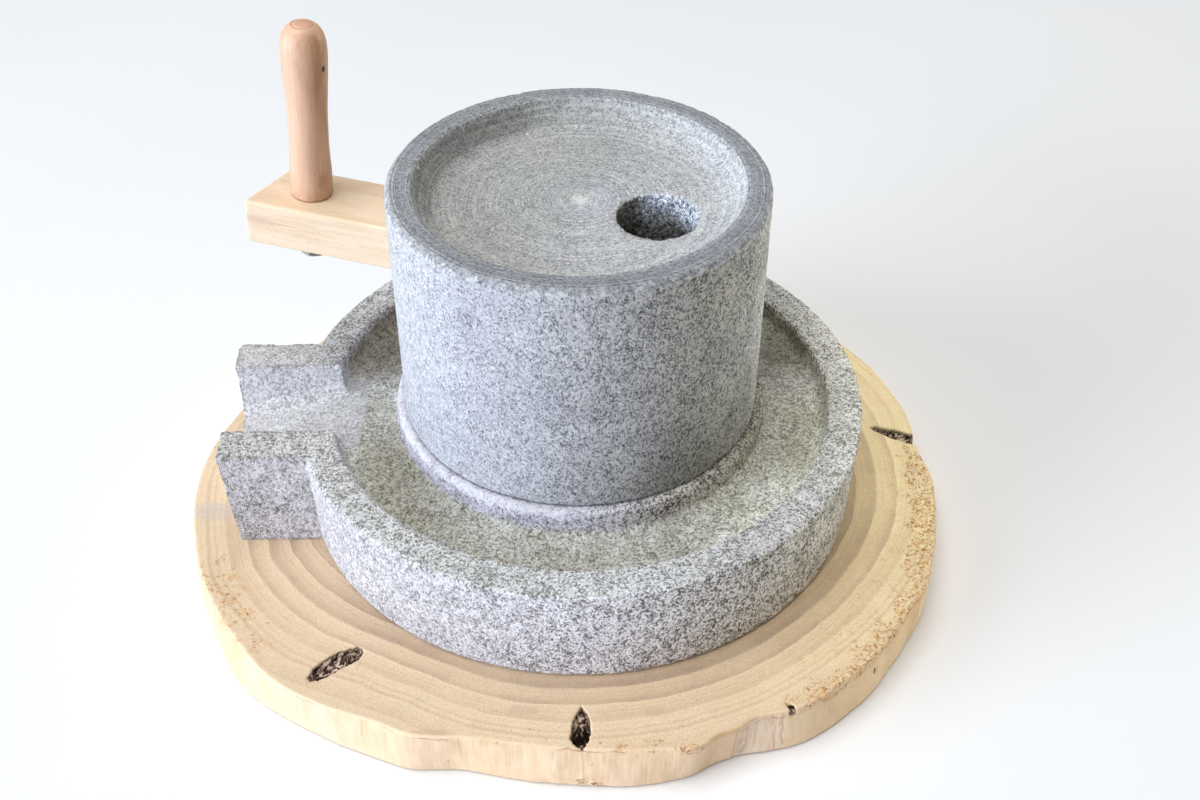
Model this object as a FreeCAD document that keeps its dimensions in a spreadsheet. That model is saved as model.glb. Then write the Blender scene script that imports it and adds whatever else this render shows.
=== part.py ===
"""Hand-turned granite tea mill on a live-edge slice of wood.

Millimetres, +Z up.  The origin is on the mill's vertical axis, on the
underside of the wood slice.  The pouring spout points to -X; the crank arm
stands out at about 167 degrees, rising slightly outward.
"""
import FreeCAD, Part
import Sketcher
import math
import os

V = FreeCAD.Vector
Rot = FreeCAD.Rotation
doc = FreeCAD.newDocument("tea_mill")

# ------------------------------------------------------------------ sizes
sheet = doc.addObject("Spreadsheet::Sheet", "Sizes")
SIZES = [
    # wood slice under the mill
    ("board_thick", 24.0), ("board_ease", 1.6),
    # lower stone, heights above its own underside
    ("bed_foot_rad", 124.0), ("bed_rim_rad", 125.1), ("bed_rim_high", 49.3),
    ("trough_wall_rad", 110.4), ("trough_foot_rad", 108.9), ("trough_high", 38.3),
    ("boss_foot_rad", 81.9), ("boss_face_rad", 79.0), ("boss_high", 50.5),
    ("rim_ease", 1.8), ("rim_arris", 0.9), ("trough_fillet", 2.3),
    # spout of the lower stone
    ("spout_tip", 158.0), ("spout_tip_near", 154.0), ("spout_under", 151.2),
    ("spout_far", 32.0), ("spout_near", 45.5), ("spout_root", 113.5),
    # upper stone, heights above the mill's own underside
    ("run_gap", 0.3), ("runner_high", 106.1), ("runner_foot_rad", 78.0),
    ("runner_side_rad", 77.0), ("runner_chamfer", 2.2),
    ("dish_rim_rad", 66.9), ("dish_floor_rad", 52.0), ("dish_deep", 10.4),
    ("eye_relief_rad", 44.0), ("eye_relief", 0.8),
    # feed hole through the upper stone
    ("feed_off_x", 31.0), ("feed_off_y", -11.7), ("feed_mouth_rad", 16.6),
    ("feed_throat_rad", 10.0), ("feed_funnel", 42.0),
    # grinding furrows on both faces
    ("furrow_count", 8.0), ("furrow_deep", 1.5), ("furrow_wide", 2.2),
    ("furrow_pitch", 8.0), ("furrow_rad", 62.0),
    # centre pin and its two sleeves
    ("pin_rad", 5.0), ("pin_fit", 0.05), ("pin_low", 0.2), ("pin_top", 76.5),
    ("bed_bush_rad", 11.0), ("bed_bush_deep", 36.0), ("bush_sink", 2.0),
    ("runner_bush_rad", 12.0), ("runner_bush_long", 30.0), ("runner_bush_bore", 27.0),
    # crank arm, in its own tilted frame: x out along the arm, top face at z = 0
    ("arm_azimuth", 167.36), ("arm_rise", 5.17), ("arm_axis_high", 125.2),
    ("arm_wide", 31.6), ("arm_thick", 20.2), ("arm_in", 35.4),
    ("arm_tip_near", 139.1), ("arm_tip_far", 129.3), ("arm_ease", 0.9),
    ("mortise_in", 35.0), ("mortise_fit", 0.15),
    # grip and its stud, on an axis square to the arm's top face
    ("grip_along", 115.2), ("grip_lift", 0.2), ("grip_high", 76.0),
    ("stud_rad", 4.0), ("stud_fit", 0.06), ("stud_top", 58.0), ("stud_end", 31.0),
    ("plug_high", 65.0), ("under_gap", 0.15),
    ("washer_rad", 8.0), ("washer_thick", 1.6), ("nut_flat", 13.0), ("nut_thick", 6.5),
]
for row, (alias, number) in enumerate(SIZES, start=1):
    sheet.set("A%d" % row, alias.replace("_", " "))
    sheet.set("B%d" % row, repr(number))
    sheet.setAlias("B%d" % row, alias)
doc.recompute()
SIZE = {alias: float(sheet.get(alias)) for alias, _ in SIZES}


# ------------------------------------------------- small sum expressions
def terms(text):
    """'a + b/2 - 3' -> list of (sign, name or number, divisor)."""
    out = []
    sign = 1.0
    for word in str(text).split():
        if word == "+":
            sign = 1.0
            continue
        if word == "-":
            sign = -1.0
            continue
        s = sign
        if word[0] == "-":
            s, word = -s, word[1:]
        div = 1.0
        if "/" in word:
            word, below = word.split("/")
            div = float(below)
        out.append((s, word, div))
        sign = 1.0
    return out


def num(text):
    total = 0.0
    for s, word, div in terms(text):
        total += s * (SIZE[word] if word in SIZE else float(word)) / div
    return total


def expr(text):
    bits = []
    for s, word, div in terms(text):
        name = "Sizes." + word if word in SIZE else word
        if div != 1.0:
            name += " / %g" % div
        bits.append(("- " if s < 0 else "+ ") + name)
    joined = " ".join(bits)
    return joined[2:] if joined.startswith("+ ") else joined


def named(text):
    return any(word in SIZE for _, word, _ in terms(text))


# --------------------------------------------------------- sketch helpers
def new_body(label):
    body = doc.addObject("PartDesign::Body", label)
    body.Label = label
    return body


def origin_of(body, role):
    for feat in body.Origin.OriginFeatures:
        if feat.Role == role:
            return feat
    raise RuntimeError("no " + role)


def new_sketch(body, label, role, shift="0"):
    sk = body.newObject("Sketcher::SketchObject", label)
    sk.AttachmentSupport = [(origin_of(body, role), "")]
    sk.MapMode = "FlatFace"
    sk.AttachmentOffset = FreeCAD.Placement(V(0, 0, num(shift)), Rot())
    if named(shift):
        sk.setExpression("AttachmentOffset.Base.z", expr(shift))
    return sk


def pin_point(sk, geo, pos, x, y, tag):
    """Hold one sketch point at sheet-driven coordinates."""
    for kind, text, axis in (("DistanceX", x, -2), ("DistanceY", y, -1)):
        value = num(text)
        if abs(value) < 1e-9 and not named(text):
            sk.addConstraint(Sketcher.Constraint("PointOnObject", geo, pos, axis))
            continue
        con = sk.addConstraint(Sketcher.Constraint(kind, -1, 1, geo, pos, value))
        name = "%s%s" % (tag, kind[-1].lower())
        sk.renameConstraint(con, name)
        if named(text):
            sk.setExpression("Constraints." + name, expr(text))


def polygon(sk, points, tag="p"):
    flat = [(num(x), num(y)) for x, y in points]
    n = len(points)
    first = sk.GeometryCount
    for i in range(n):
        a, b = flat[i], flat[(i + 1) % n]
        sk.addGeometry(Part.LineSegment(V(a[0], a[1], 0), V(b[0], b[1], 0)), False)
    for i in range(n):
        sk.addConstraint(Sketcher.Constraint("Coincident", first + i, 2, first + (i + 1) % n, 1))
    for i, (x, y) in enumerate(points):
        pin_point(sk, first + i, 1, x, y, "%s%d" % (tag, i))
    return first


def circle(sk, x, y, radius, tag="c"):
    g = sk.addGeometry(Part.Circle(V(num(x), num(y), 0), V(0, 0, 1), num(radius)), False)
    if abs(num(x)) < 1e-9 and abs(num(y)) < 1e-9:
        sk.addConstraint(Sketcher.Constraint("Coincident", g, 3, -1, 1))
    else:
        pin_point(sk, g, 3, x, y, tag)
    con = sk.addConstraint(Sketcher.Constraint("Radius", g, num(radius)))
    sk.renameConstraint(con, tag + "_radius")
    if named(radius):
        sk.setExpression("Constraints." + tag + "_radius", expr(radius))
    return g


def revolve(body, sk, label):
    feat = body.newObject("PartDesign::Revolution", label)
    feat.Profile = sk
    feat.ReferenceAxis = (sk, ["V_Axis"])
    feat.Angle = 360.0
    return feat


def pad(body, sk, label, length):
    feat = body.newObject("PartDesign::Pad", label)
    feat.Profile = sk
    feat.Length = num(length)
    if named(length):
        feat.setExpression("Length", expr(length))
    return feat


def pocket(body, sk, label, length, up=False):
    feat = body.newObject("PartDesign::Pocket", label)
    feat.Profile = sk
    feat.Reversed = up
    feat.Length = num(length)
    if named(length):
        feat.setExpression("Length", expr(length))
    return feat


def settle(body, label, sign):
    """Recompute and make sure the newest feature changed the volume the right way."""
    before = settle.volume.get(body.Name, 0.0)
    doc.recompute()
    now = body.Shape.Volume
    if (now - before) * sign <= 1e-3:
        raise RuntimeError("%s in %s changed volume by %.3f" % (label, body.Label, now - before))
    settle.volume[body.Name] = now


settle.volume = {}


def place(body, z="0"):
    body.Placement = FreeCAD.Placement(V(0, 0, num(z)), Rot())
    if named(z):
        body.setExpression("Placement.Base.z", expr(z))


def furrows(body, face_high, up):
    """One eighth of the grinding furrows, repeated round the axis.

    The first furrow of each sector runs out along a radius; the others lie
    parallel to it and end on the next sector's radius.
    """
    sk = new_sketch(body, body.Label + "_furrow_sketch", "XY_Plane", face_high)
    pitch, wide, rad = SIZE["furrow_pitch"], SIZE["furrow_wide"], SIZE["furrow_rad"]
    for k in range(5):
        low = "furrow_pitch/%g" % (1.0 / k) if k else "0"
        y0 = k * pitch
        start = max(17.0, y0 + 6.5)
        end = math.sqrt(rad * rad - (y0 + wide / 2) ** 2)
        pts = [
            ("%.3f" % start, low + " - furrow_wide/2"), ("%.3f" % end, low + " - furrow_wide/2"),
            ("%.3f" % end, low + " + furrow_wide/2"), ("%.3f" % start, low + " + furrow_wide/2"),
        ]
        polygon(sk, pts, "f%d_" % k)
    cut = pocket(body, sk, body.Label + "_furrow", "furrow_deep", up)
    settle(body, "furrow", -1)
    pat = body.newObject("PartDesign::PolarPattern", body.Label + "_furrows")
    pat.Originals = [cut]
    pat.Axis = (origin_of(body, "Z_Axis"), [""])
    pat.Angle = 360.0
    pat.Occurrences = int(SIZE["furrow_count"])
    pat.setExpression("Occurrences", "Sizes.furrow_count")
    body.Tip = pat
    settle(body, "furrow pattern", -1)


# ------------------------------------------------------------ wood slice
# A round cut across the trunk.  Its outline is given as a radius from the
# mill's axis every few degrees; the underside is a little smaller than the
# top in front and a little larger at the left.
BOARD = [
    (0, 163.6), (5, 162.4), (11, 164.8), (18, 165.8), (25, 166.4), (34, 165.6), (46, 164.6),
    (58, 165.4), (70, 164.2), (82, 163.0), (94, 163.6), (106, 164.6), (118, 164.2), (130, 165.2),
    (142, 167.4), (154, 170.4), (166, 173.6), (172, 176.6), (178, 178.5), (184, 179.3),
    (190, 179.0), (196, 178.6), (203, 178.3), (210, 177.2), (218, 176.4), (224, 176.2),
    (230, 173.2), (236, 168.8), (241, 165.8), (246, 165.0), (251, 160.8), (256, 158.0),
    (262, 157.6), (270, 158.3), (277, 160.0), (283, 163.0), (286.2, 163.8), (289.2, 161.1),
    (291.8, 161.3), (294.6, 159.6), (297.2, 160.5), (299.8, 162.9), (303.4, 164.5), (309, 165.3), (316, 165.6), (324, 165.6),
    (332, 166.8), (340, 166.0), (348, 165.4), (355, 165.2),
]
BOARD_FOOT = [
    (0, 0.4), (40, -0.6), (100, -0.8), (160, 0.2), (185, 1.0), (200, 1.5), (207.5, 2.2), (211.5, 3.0),
    (216, 4.2), (220, 3.2), (223, 0.9), (226, -1.0), (230, -0.7), (234, -0.2), (239, 1.8), (243, 0.9),
    (248, -0.5), (251, -1.2), (257, 0.2), (262, 0.8), (272, 1.2), (278, 0.8), (282, -1.4), (286.2, -3.4),
    (289.2, -2.6), (291.8, -2.7), (294.6, 0.6), (297.2, 2.2), (299.8, 1.7), (303.4, 2.1), (310, 2.0), (318, 2.3), (324, 1.1),
    (333, 0.5), (345, 1.0),
]


def lookup(table, angle):
    angle %= 360.0
    rows = table + [(table[0][0] + 360.0, table[0][1])]
    for (a0, v0), (a1, v1) in zip(rows, rows[1:]):
        if a0 <= angle <= a1:
            return v0 + (v1 - v0) * (angle - a0) / (a1 - a0)
    return table[0][1]


def outline(delta, extra):
    pts = []
    for angle, radius in BOARD:
        r = radius + delta * lookup(BOARD_FOOT, angle) + extra
        a = math.radians(angle)
        pts.append(V(r * math.cos(a), r * math.sin(a), 0))
    curve = Part.BSplineCurve()
    curve.interpolate(pts, True)
    return curve.toShape()


def ring_at(delta, extra, z):
    edge = outline(delta, extra)
    edge.translate(V(0, 0, z))
    return Part.Wire([edge])


thick, ease = SIZE["board_thick"], SIZE["board_ease"]
shell = Part.makeLoft([
    ring_at(1.0, -ease, 0.0), ring_at(0.95, 0.0, ease), ring_at(0.5, 0.4, thick * 0.5),
    ring_at(0.06, 0.0, thick - ease), ring_at(0.0, -ease * 0.8, thick),
], True, True)
base_board = doc.addObject("Part::Feature", "base_board")
base_board.Label = "base_board"
base_board.Shape = shell
base_board.Placement = FreeCAD.Placement(V(0, 0, 0), Rot())

# ----------------------------------------------------------- lower stone
bed = new_body("bed_stone")
sk = new_sketch(bed, "bed_profile", "XZ_Plane")
polygon(sk, [
    ("0", "0"), ("bed_foot_rad - rim_ease", "0"), ("bed_foot_rad", "rim_ease"),
    ("bed_rim_rad", "bed_rim_high - rim_arris"), ("bed_rim_rad - rim_arris", "bed_rim_high"),
    ("trough_wall_rad + rim_arris", "bed_rim_high"), ("trough_wall_rad", "bed_rim_high - rim_arris"),
    ("trough_foot_rad", "trough_high + trough_fillet"), ("trough_foot_rad - trough_fillet", "trough_high"),
    ("boss_foot_rad + trough_fillet", "trough_high"), ("boss_foot_rad", "trough_high + trough_fillet"),
    ("boss_foot_rad - 0.2", "boss_high - 2.6"), ("boss_foot_rad - 0.7", "boss_high - 0.9"),
    ("boss_face_rad + 1", "boss_high"), ("0", "boss_high"),
])
revolve(bed, sk, "bed_turned")
settle(bed, "turned body", 1)

# spout block: narrower under than on top, its end face leaning outward
low = new_sketch(bed, "spout_low", "XY_Plane")
polygon(low, [
    ("-spout_root", "-spout_near - 0.9"), ("-spout_root", "spout_far - 0.4"),
    ("-spout_under - 1.5", "spout_far - 1.0"), ("-spout_under", "-spout_near - 0.7"),
])
top = new_sketch(bed, "spout_top", "XY_Plane", "bed_rim_high")
polygon(top, [
    ("-spout_root", "-spout_near"), ("-spout_root", "spout_far"),
    ("-spout_tip", "spout_far - 0.6"), ("-spout_tip_near", "-spout_near"),
])
block = bed.newObject("PartDesign::AdditiveLoft", "spout_block")
block.Profile = low
block.Sections = [top]
block.Ruled = True
settle(bed, "spout block", 1)

# pouring channel: from a step in the trough floor down to the spout's lip
inner = new_sketch(bed, "channel_in", "YZ_Plane", "-96")
polygon(inner, [
    ("-30.6", "62"), ("-28.6", "49.3"), ("-25.6", "43.2"), ("-22.2", "39"),
    ("9.2", "39"), ("12.8", "43.2"), ("16.1", "49.3"), ("18.1", "62"),
])
outer = new_sketch(bed, "channel_out", "YZ_Plane", "-164")
polygon(outer, [
    ("-30.8", "62"), ("-28.8", "49.3"), ("-22.0", "31"), ("-16.6", "25.4"),
    ("3.4", "25.4"), ("8.4", "31"), ("15.2", "49.3"), ("17.2", "62"),
])
chan = bed.newObject("PartDesign::SubtractiveLoft", "spout_channel")
chan.Profile = inner
chan.Sections = [outer]
chan.Ruled = True
settle(bed, "spout channel", -1)

sk = new_sketch(bed, "bed_bore_sketch", "XY_Plane", "boss_high")
circle(sk, "0", "0", "bed_bush_rad")
pocket(bed, sk, "bed_bore", "bed_bush_deep")
settle(bed, "centre bore", -1)
furrows(bed, "boss_high", False)
place(bed, "board_thick")

# ----------------------------------------------------------- upper stone
runner = new_body("runner_stone")
sk = new_sketch(runner, "runner_profile", "XZ_Plane")
# concave dish wall, as a short run of chords on one circle
wall_x, wall_z = SIZE["dish_floor_rad"], SIZE["runner_high"] - SIZE["dish_deep"]
reach = SIZE["dish_rim_rad"] - wall_x
bow = (reach ** 2 + SIZE["dish_deep"] ** 2) / (2 * SIZE["dish_deep"])
sweep = math.asin(reach / bow)
dish = []
for i in range(1, 6):
    a = sweep * i / 6.0
    dish.append(("dish_floor_rad + %.4f" % (bow * math.sin(a)),
                 "runner_high - dish_deep + %.4f" % (bow * (1 - math.cos(a)))))
polygon(sk, [
    ("0", "eye_relief"), ("runner_bush_rad + 16", "eye_relief"), ("eye_relief_rad", "0"),
    ("runner_foot_rad - 0.8", "0"), ("runner_foot_rad", "0.8"),
    ("runner_side_rad", "runner_high - runner_chamfer"),
    ("runner_side_rad - 1.8", "runner_high"), ("dish_rim_rad + 0.6", "runner_high"),
    ("dish_rim_rad", "runner_high - 0.6")]
    + dish[::-1][1:] + [("dish_floor_rad", "runner_high - dish_deep"), ("0", "runner_high - dish_deep")])
revolve(runner, sk, "runner_turned")
settle(runner, "turned body", 1)

sk = new_sketch(runner, "socket_sketch", "XY_Plane")
circle(sk, "0", "0", "runner_bush_rad")
pocket(runner, sk, "pin_socket", "bush_sink + runner_bush_long", True)
settle(runner, "pin socket", -1)

sk = new_sketch(runner, "feed_sketch", "XY_Plane")
circle(sk, "feed_off_x", "feed_off_y", "feed_throat_rad")
pocket(runner, sk, "feed_throat", "runner_high", True)
settle(runner, "feed throat", -1)
mouth = new_sketch(runner, "feed_mouth_sketch", "XY_Plane", "runner_high - dish_deep + 2")
circle(mouth, "feed_off_x", "feed_off_y", "feed_mouth_rad + 0.3")
neck = new_sketch(runner, "feed_neck_sketch", "XY_Plane", "runner_high - dish_deep - feed_funnel")
circle(neck, "feed_off_x", "feed_off_y", "feed_throat_rad")
funnel = runner.newObject("PartDesign::SubtractiveLoft", "feed_funnel_cut")
funnel.Profile = mouth
funnel.Sections = [neck]
settle(runner, "feed funnel", -1)

# square mortise for the arm, cut in from the side along the arm's own line
mort = runner.newObject("PartDesign::SubtractiveBox", "arm_mortise")
mort.Length = 60.0
mort.Width = num("arm_wide + mortise_fit + mortise_fit")
mort.setExpression("Width", "Sizes.arm_wide + 2 * Sizes.mortise_fit")
mort.Height = num("arm_thick + mortise_fit + mortise_fit")
mort.setExpression("Height", "Sizes.arm_thick + 2 * Sizes.mortise_fit")
arm_rot = Rot(V(0, 0, 1), SIZE["arm_azimuth"]).multiply(Rot(V(0, 1, 0), -SIZE["arm_rise"]))
high_in_runner = num("arm_axis_high - boss_high - run_gap")
corner = V(SIZE["mortise_in"], -num("arm_wide/2 + mortise_fit"), -num("arm_thick + mortise_fit"))
mort.Placement = FreeCAD.Placement(V(0, 0, high_in_runner) + arm_rot.multVec(corner), arm_rot)
settle(runner, "arm mortise", -1)
furrows(runner, "0", True)
place(runner, "board_thick + boss_high + run_gap")

# ------------------------------------------------- centre pin and sleeves
bush = new_body("bed_bush")
sk = new_sketch(bush, "bed_bush_ring", "XY_Plane")
circle(sk, "0", "0", "bed_bush_rad", "out")
circle(sk, "0", "0", "pin_rad + pin_fit", "bore")
pad(bush, sk, "bed_bush_pad", "bed_bush_deep - bush_sink")
settle(bush, "sleeve", 1)
place(bush, "board_thick + boss_high - bed_bush_deep")

pin = new_body("pivot_pin")
sk = new_sketch(pin, "pin_profile", "XZ_Plane")
foot = "boss_high - bed_bush_deep + pin_low"
polygon(sk, [
    ("0", foot), ("pin_rad - 0.6", foot), ("pin_rad", foot + " + 0.6"),
    ("pin_rad", "pin_top - 1.6"), ("pin_rad - 1.2", "pin_top - 0.4"), ("pin_rad - 2.8", "pin_top"),
    ("0", "pin_top"),
])
revolve(pin, sk, "pin_turned")
settle(pin, "pin", 1)
place(pin, "board_thick")

cap = new_body("runner_bush")
sk = new_sketch(cap, "runner_bush_profile", "XZ_Plane")
polygon(sk, [
    ("pin_rad + pin_fit + 0.8", "0"), ("runner_bush_rad", "0"),
    ("runner_bush_rad", "runner_bush_long"), ("0", "runner_bush_long"),
    ("0", "runner_bush_bore"), ("pin_rad + pin_fit", "runner_bush_bore"), ("pin_rad + pin_fit", "0.8"),
])
revolve(cap, sk, "runner_bush_turned")
settle(cap, "blind sleeve", 1)
place(cap, "board_thick + boss_high + run_gap + bush_sink")

# ------------------------------------------------------------- crank arm
arm = new_body("crank_arm")
sk = new_sketch(arm, "arm_plan", "XY_Plane", "-arm_thick")
polygon(sk, [
    ("arm_in", "-arm_wide/2"), ("arm_tip_far", "-arm_wide/2"),
    ("arm_tip_near", "arm_wide/2"), ("arm_in", "arm_wide/2"),
])
arm_bar = pad(arm, sk, "arm_pad", "arm_thick")
settle(arm, "bar", 1)
long_edges = []
for i, edge in enumerate(arm.Shape.Edges, start=1):
    a, b = edge.Vertexes[0].Point, edge.Vertexes[-1].Point
    if abs(a.y - b.y) < 1e-6 and abs(a.z - b.z) < 1e-6 and abs(a.x - b.x) > 50:
        long_edges.append("Edge%d" % i)
    elif min(a.x, b.x) > SIZE["arm_in"] + 5:
        long_edges.append("Edge%d" % i)
arm_ease = arm.newObject("PartDesign::Fillet", "arm_eased")
arm_ease.Base = (arm_bar, long_edges)
arm_ease.Radius = SIZE["arm_ease"]
arm_ease.setExpression("Radius", "Sizes.arm_ease")
arm.Tip = arm_ease
settle(arm, "eased edges", -1)
sk = new_sketch(arm, "arm_hole_sketch", "XY_Plane")
circle(sk, "grip_along", "0", "stud_rad + stud_fit")
pocket(arm, sk, "arm_hole", "arm_thick")
settle(arm, "stud hole", -1)
arm_place = FreeCAD.Placement(V(0, 0, num("board_thick + arm_axis_high")), arm_rot)
arm.Placement = arm_place
arm.setExpression("Placement.Base.z", expr("board_thick + arm_axis_high"))

# grip, stud, washer, nut and plug share one axis, square to the arm's top
grip_base = arm_place.multVec(V(SIZE["grip_along"], 0, 0))
grip_place = FreeCAD.Placement(grip_base, arm_rot)

grip = new_body("grip")
sk = new_sketch(grip, "grip_profile", "XZ_Plane")
polygon(sk, [
    ("stud_rad", "grip_lift"), ("7.9", "grip_lift"), ("8.6", "1.0"), ("8.62", "6"),
    ("8.6", "11"), ("8.32", "15"), ("8.12", "19"), ("8.0", "24"), ("7.98", "31"), ("8.04", "38"),
    ("8.2", "42"), ("8.42", "46"), ("8.66", "51"), ("8.88", "56"), ("9.05", "61"), ("9.12", "64.5"),
    ("9.04", "67"), ("8.66", "69.6"), ("7.9", "72"), ("6.8", "73.9"), ("5.5", "75.1"),
    ("stud_rad", "grip_high - 0.25"),
])
revolve(grip, sk, "grip_turned")
settle(grip, "grip", 1)
grip.Placement = grip_place

plug = new_body("grip_plug")
sk = new_sketch(plug, "plug_profile", "XZ_Plane")
polygon(sk, [
    ("0", "plug_high"), ("stud_rad - 0.5", "plug_high"), ("stud_rad", "plug_high + 0.8"),
    ("stud_rad", "grip_high - 0.4"), ("stud_rad - 0.5", "grip_high - 0.05"), ("0", "grip_high + 0.15"),
])
revolve(plug, sk, "plug_turned")
settle(plug, "plug", 1)
plug.Placement = grip_place

stud = new_body("grip_stud")
sk = new_sketch(stud, "stud_profile", "XZ_Plane")
polygon(sk, [
    ("0", "-stud_end"), ("stud_rad - 1.0", "-stud_end"), ("stud_rad", "-stud_end + 1.0"),
    ("stud_rad", "stud_top - 1.0"), ("stud_rad - 1.0", "stud_top"), ("0", "stud_top"),
])
revolve(stud, sk, "stud_turned")
settle(stud, "stud", 1)
stud.Placement = grip_place

washer = new_body("flat_washer")
sk = new_sketch(washer, "washer_sketch", "XY_Plane", "-arm_thick - under_gap - washer_thick")
circle(sk, "0", "0", "washer_rad", "out")
circle(sk, "0", "0", "stud_rad + 0.2", "hole")
pad(washer, sk, "washer_pad", "washer_thick")
settle(washer, "washer", 1)
washer.Placement = grip_place

nut = new_body("hex_nut")
sk = new_sketch(nut, "nut_sketch", "XY_Plane", "-arm_thick - under_gap - washer_thick - nut_thick")
half = SIZE["nut_flat"] / 2.0
hexagon = []
for i in range(6):
    a = math.radians(60 * i + 30)
    r = half / math.cos(math.radians(30))
    hexagon.append(("%.5f" % (r * math.cos(a)), "%.5f" % (r * math.sin(a))))
polygon(sk, hexagon, "hex")
circle(sk, "0", "0", "stud_rad", "hole")
pad(nut, sk, "nut_pad", "nut_thick")
settle(nut, "nut", 1)
# the nut's lower corners are turned off at thirty degrees
cone = new_sketch(nut, "nut_corner", "XZ_Plane")
zf = "-arm_thick - under_gap - washer_thick - nut_thick"
polygon(cone, [("nut_flat/2 - 0.7", zf + " - 0.5"), ("nut_flat/2 + 2.2", zf + " - 0.5"), ("nut_flat/2 + 2.2", zf + " + 1.2")])
corner_cut = nut.newObject("PartDesign::Groove", "nut_turned_corner")
corner_cut.Profile = cone
corner_cut.ReferenceAxis = (cone, ["V_Axis"])
corner_cut.Angle = 360.0
settle(nut, "turned corners", -1)
nut.Placement = grip_place

# --------------------------------------------------------- final checks
PARTS = [base_board, bed, runner, bush, pin, cap, arm, grip, plug, stud, washer, nut]
doc.recompute()
for obj in doc.Objects:
    if "Invalid" in obj.State or "Error" in obj.State:
        raise RuntimeError("failed feature: %s %s" % (obj.Label, obj.State))
for part in PARTS:
    shape = part.Shape
    if shape.isNull() or not shape.isValid() or len(shape.Solids) != 1:
        raise RuntimeError("bad shape: %s (%d solids)" % (part.Label, len(shape.Solids)))
os.makedirs("parts", exist_ok=True)
for part in PARTS:
    part.Shape.exportStep("parts/%s.step" % part.Label)
    box = part.Shape.BoundBox
    print("%-14s %9.0f mm3  x %7.1f %7.1f  y %7.1f %7.1f  z %6.1f %6.1f" % (
        part.Label, part.Shape.Volume, box.XMin, box.XMax, box.YMin, box.YMax, box.ZMin, box.ZMax))
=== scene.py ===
"""Looks of the hand-turned granite tea mill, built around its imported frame.

Metres, same frame as the model: +Z up, origin on the mill's axis on the
underside of the wood slice.  Working sizes below are in millimetres and are
turned into metres when a mesh is made.
"""

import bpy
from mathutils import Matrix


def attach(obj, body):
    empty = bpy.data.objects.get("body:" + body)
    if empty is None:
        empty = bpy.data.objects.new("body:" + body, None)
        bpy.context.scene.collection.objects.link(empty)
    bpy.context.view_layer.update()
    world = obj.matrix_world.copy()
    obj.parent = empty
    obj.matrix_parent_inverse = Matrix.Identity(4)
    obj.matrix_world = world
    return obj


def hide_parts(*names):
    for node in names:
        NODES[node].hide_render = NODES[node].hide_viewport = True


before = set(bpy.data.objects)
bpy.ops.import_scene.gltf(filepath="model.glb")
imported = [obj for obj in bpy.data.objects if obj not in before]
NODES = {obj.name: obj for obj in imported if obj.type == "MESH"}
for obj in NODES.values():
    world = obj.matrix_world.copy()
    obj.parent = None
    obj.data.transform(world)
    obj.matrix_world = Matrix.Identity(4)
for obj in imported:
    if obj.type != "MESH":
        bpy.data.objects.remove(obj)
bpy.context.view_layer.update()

import math

import bmesh
import bpy
import numpy as np
from mathutils import Matrix, Vector, kdtree

MM = 0.001


# ============================================================ small maths
def smooth(a, b, x):
    t = np.clip((x - a) / (b - a), 0.0, 1.0)
    return t * t * (3 - 2 * t)


def _mix(ix, iy, iz, seed):
    h = (ix.astype(np.uint32) * np.uint32(0x8DA6B343)) ^ (iy.astype(np.uint32) * np.uint32(0xD8163841))
    h = h ^ (iz.astype(np.uint32) * np.uint32(0xCB1AB31F)) ^ np.uint32((seed * 0x9E3779B1 + 0x7F4A7C15) & 0xFFFFFFFF)
    h ^= h >> np.uint32(15)
    h *= np.uint32(0x2C1B3C6D)
    h ^= h >> np.uint32(12)
    h *= np.uint32(0x297A2D39)
    h ^= h >> np.uint32(15)
    return h


def noise(p, size, seed=0):
    """Gradient noise of p (n x 3, mm) with features about size mm apart, roughly -1 to 1."""
    q = np.asarray(p, float) / size
    i = np.floor(q).astype(np.int64)
    f = q - i
    u = f * f * f * (f * (f * 6 - 15) + 10)
    out = np.zeros(len(q))
    for dx in (0, 1):
        wx = u[:, 0] if dx else 1 - u[:, 0]
        for dy in (0, 1):
            wy = u[:, 1] if dy else 1 - u[:, 1]
            for dz in (0, 1):
                wz = u[:, 2] if dz else 1 - u[:, 2]
                h = _mix(i[:, 0] + dx, i[:, 1] + dy, i[:, 2] + dz, seed)
                gx = (h & np.uint32(1023)).astype(float) / 511.5 - 1
                gy = ((h >> np.uint32(10)) & np.uint32(1023)).astype(float) / 511.5 - 1
                gz = ((h >> np.uint32(20)) & np.uint32(1023)).astype(float) / 511.5 - 1
                out += wx * wy * wz * (gx * (f[:, 0] - dx) + gy * (f[:, 1] - dy) + gz * (f[:, 2] - dz))
    return out * 1.6


def layered(p, size, seed=0, times=3, keep=0.5):
    total, amp = np.zeros(len(p)), 1.0
    for k in range(times):
        total += amp * noise(p, size / 2 ** k, seed + 17 * k)
        amp *= keep
    return total


def line(x, size, seed=0):
    """Noise of one number."""
    p = np.zeros((len(x), 3))
    p[:, 0] = x
    p[:, 1] = 0.37 * size
    return noise(p, size, seed)


# ============================================================ mesh helpers
def get_points(me):
    co = np.empty(len(me.vertices) * 3, np.float32)
    me.vertices.foreach_get("co", co)
    return co.reshape(-1, 3).astype(float) / MM


def set_points(me, p):
    me.vertices.foreach_set("co", (np.asarray(p) * MM).astype(np.float32).ravel())
    me.update()


def get_normals(me):
    n = np.empty(len(me.vertices) * 3, np.float32)
    me.vertex_normals.foreach_get("vector", n)
    return n.reshape(-1, 3).astype(float)


def new_object(name, me):
    ob = bpy.data.objects.new(name, me)
    bpy.context.scene.collection.objects.link(ob)
    return ob


def set_smooth(me, on=True):
    me.polygons.foreach_set("use_smooth", [on] * len(me.polygons))


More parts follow.
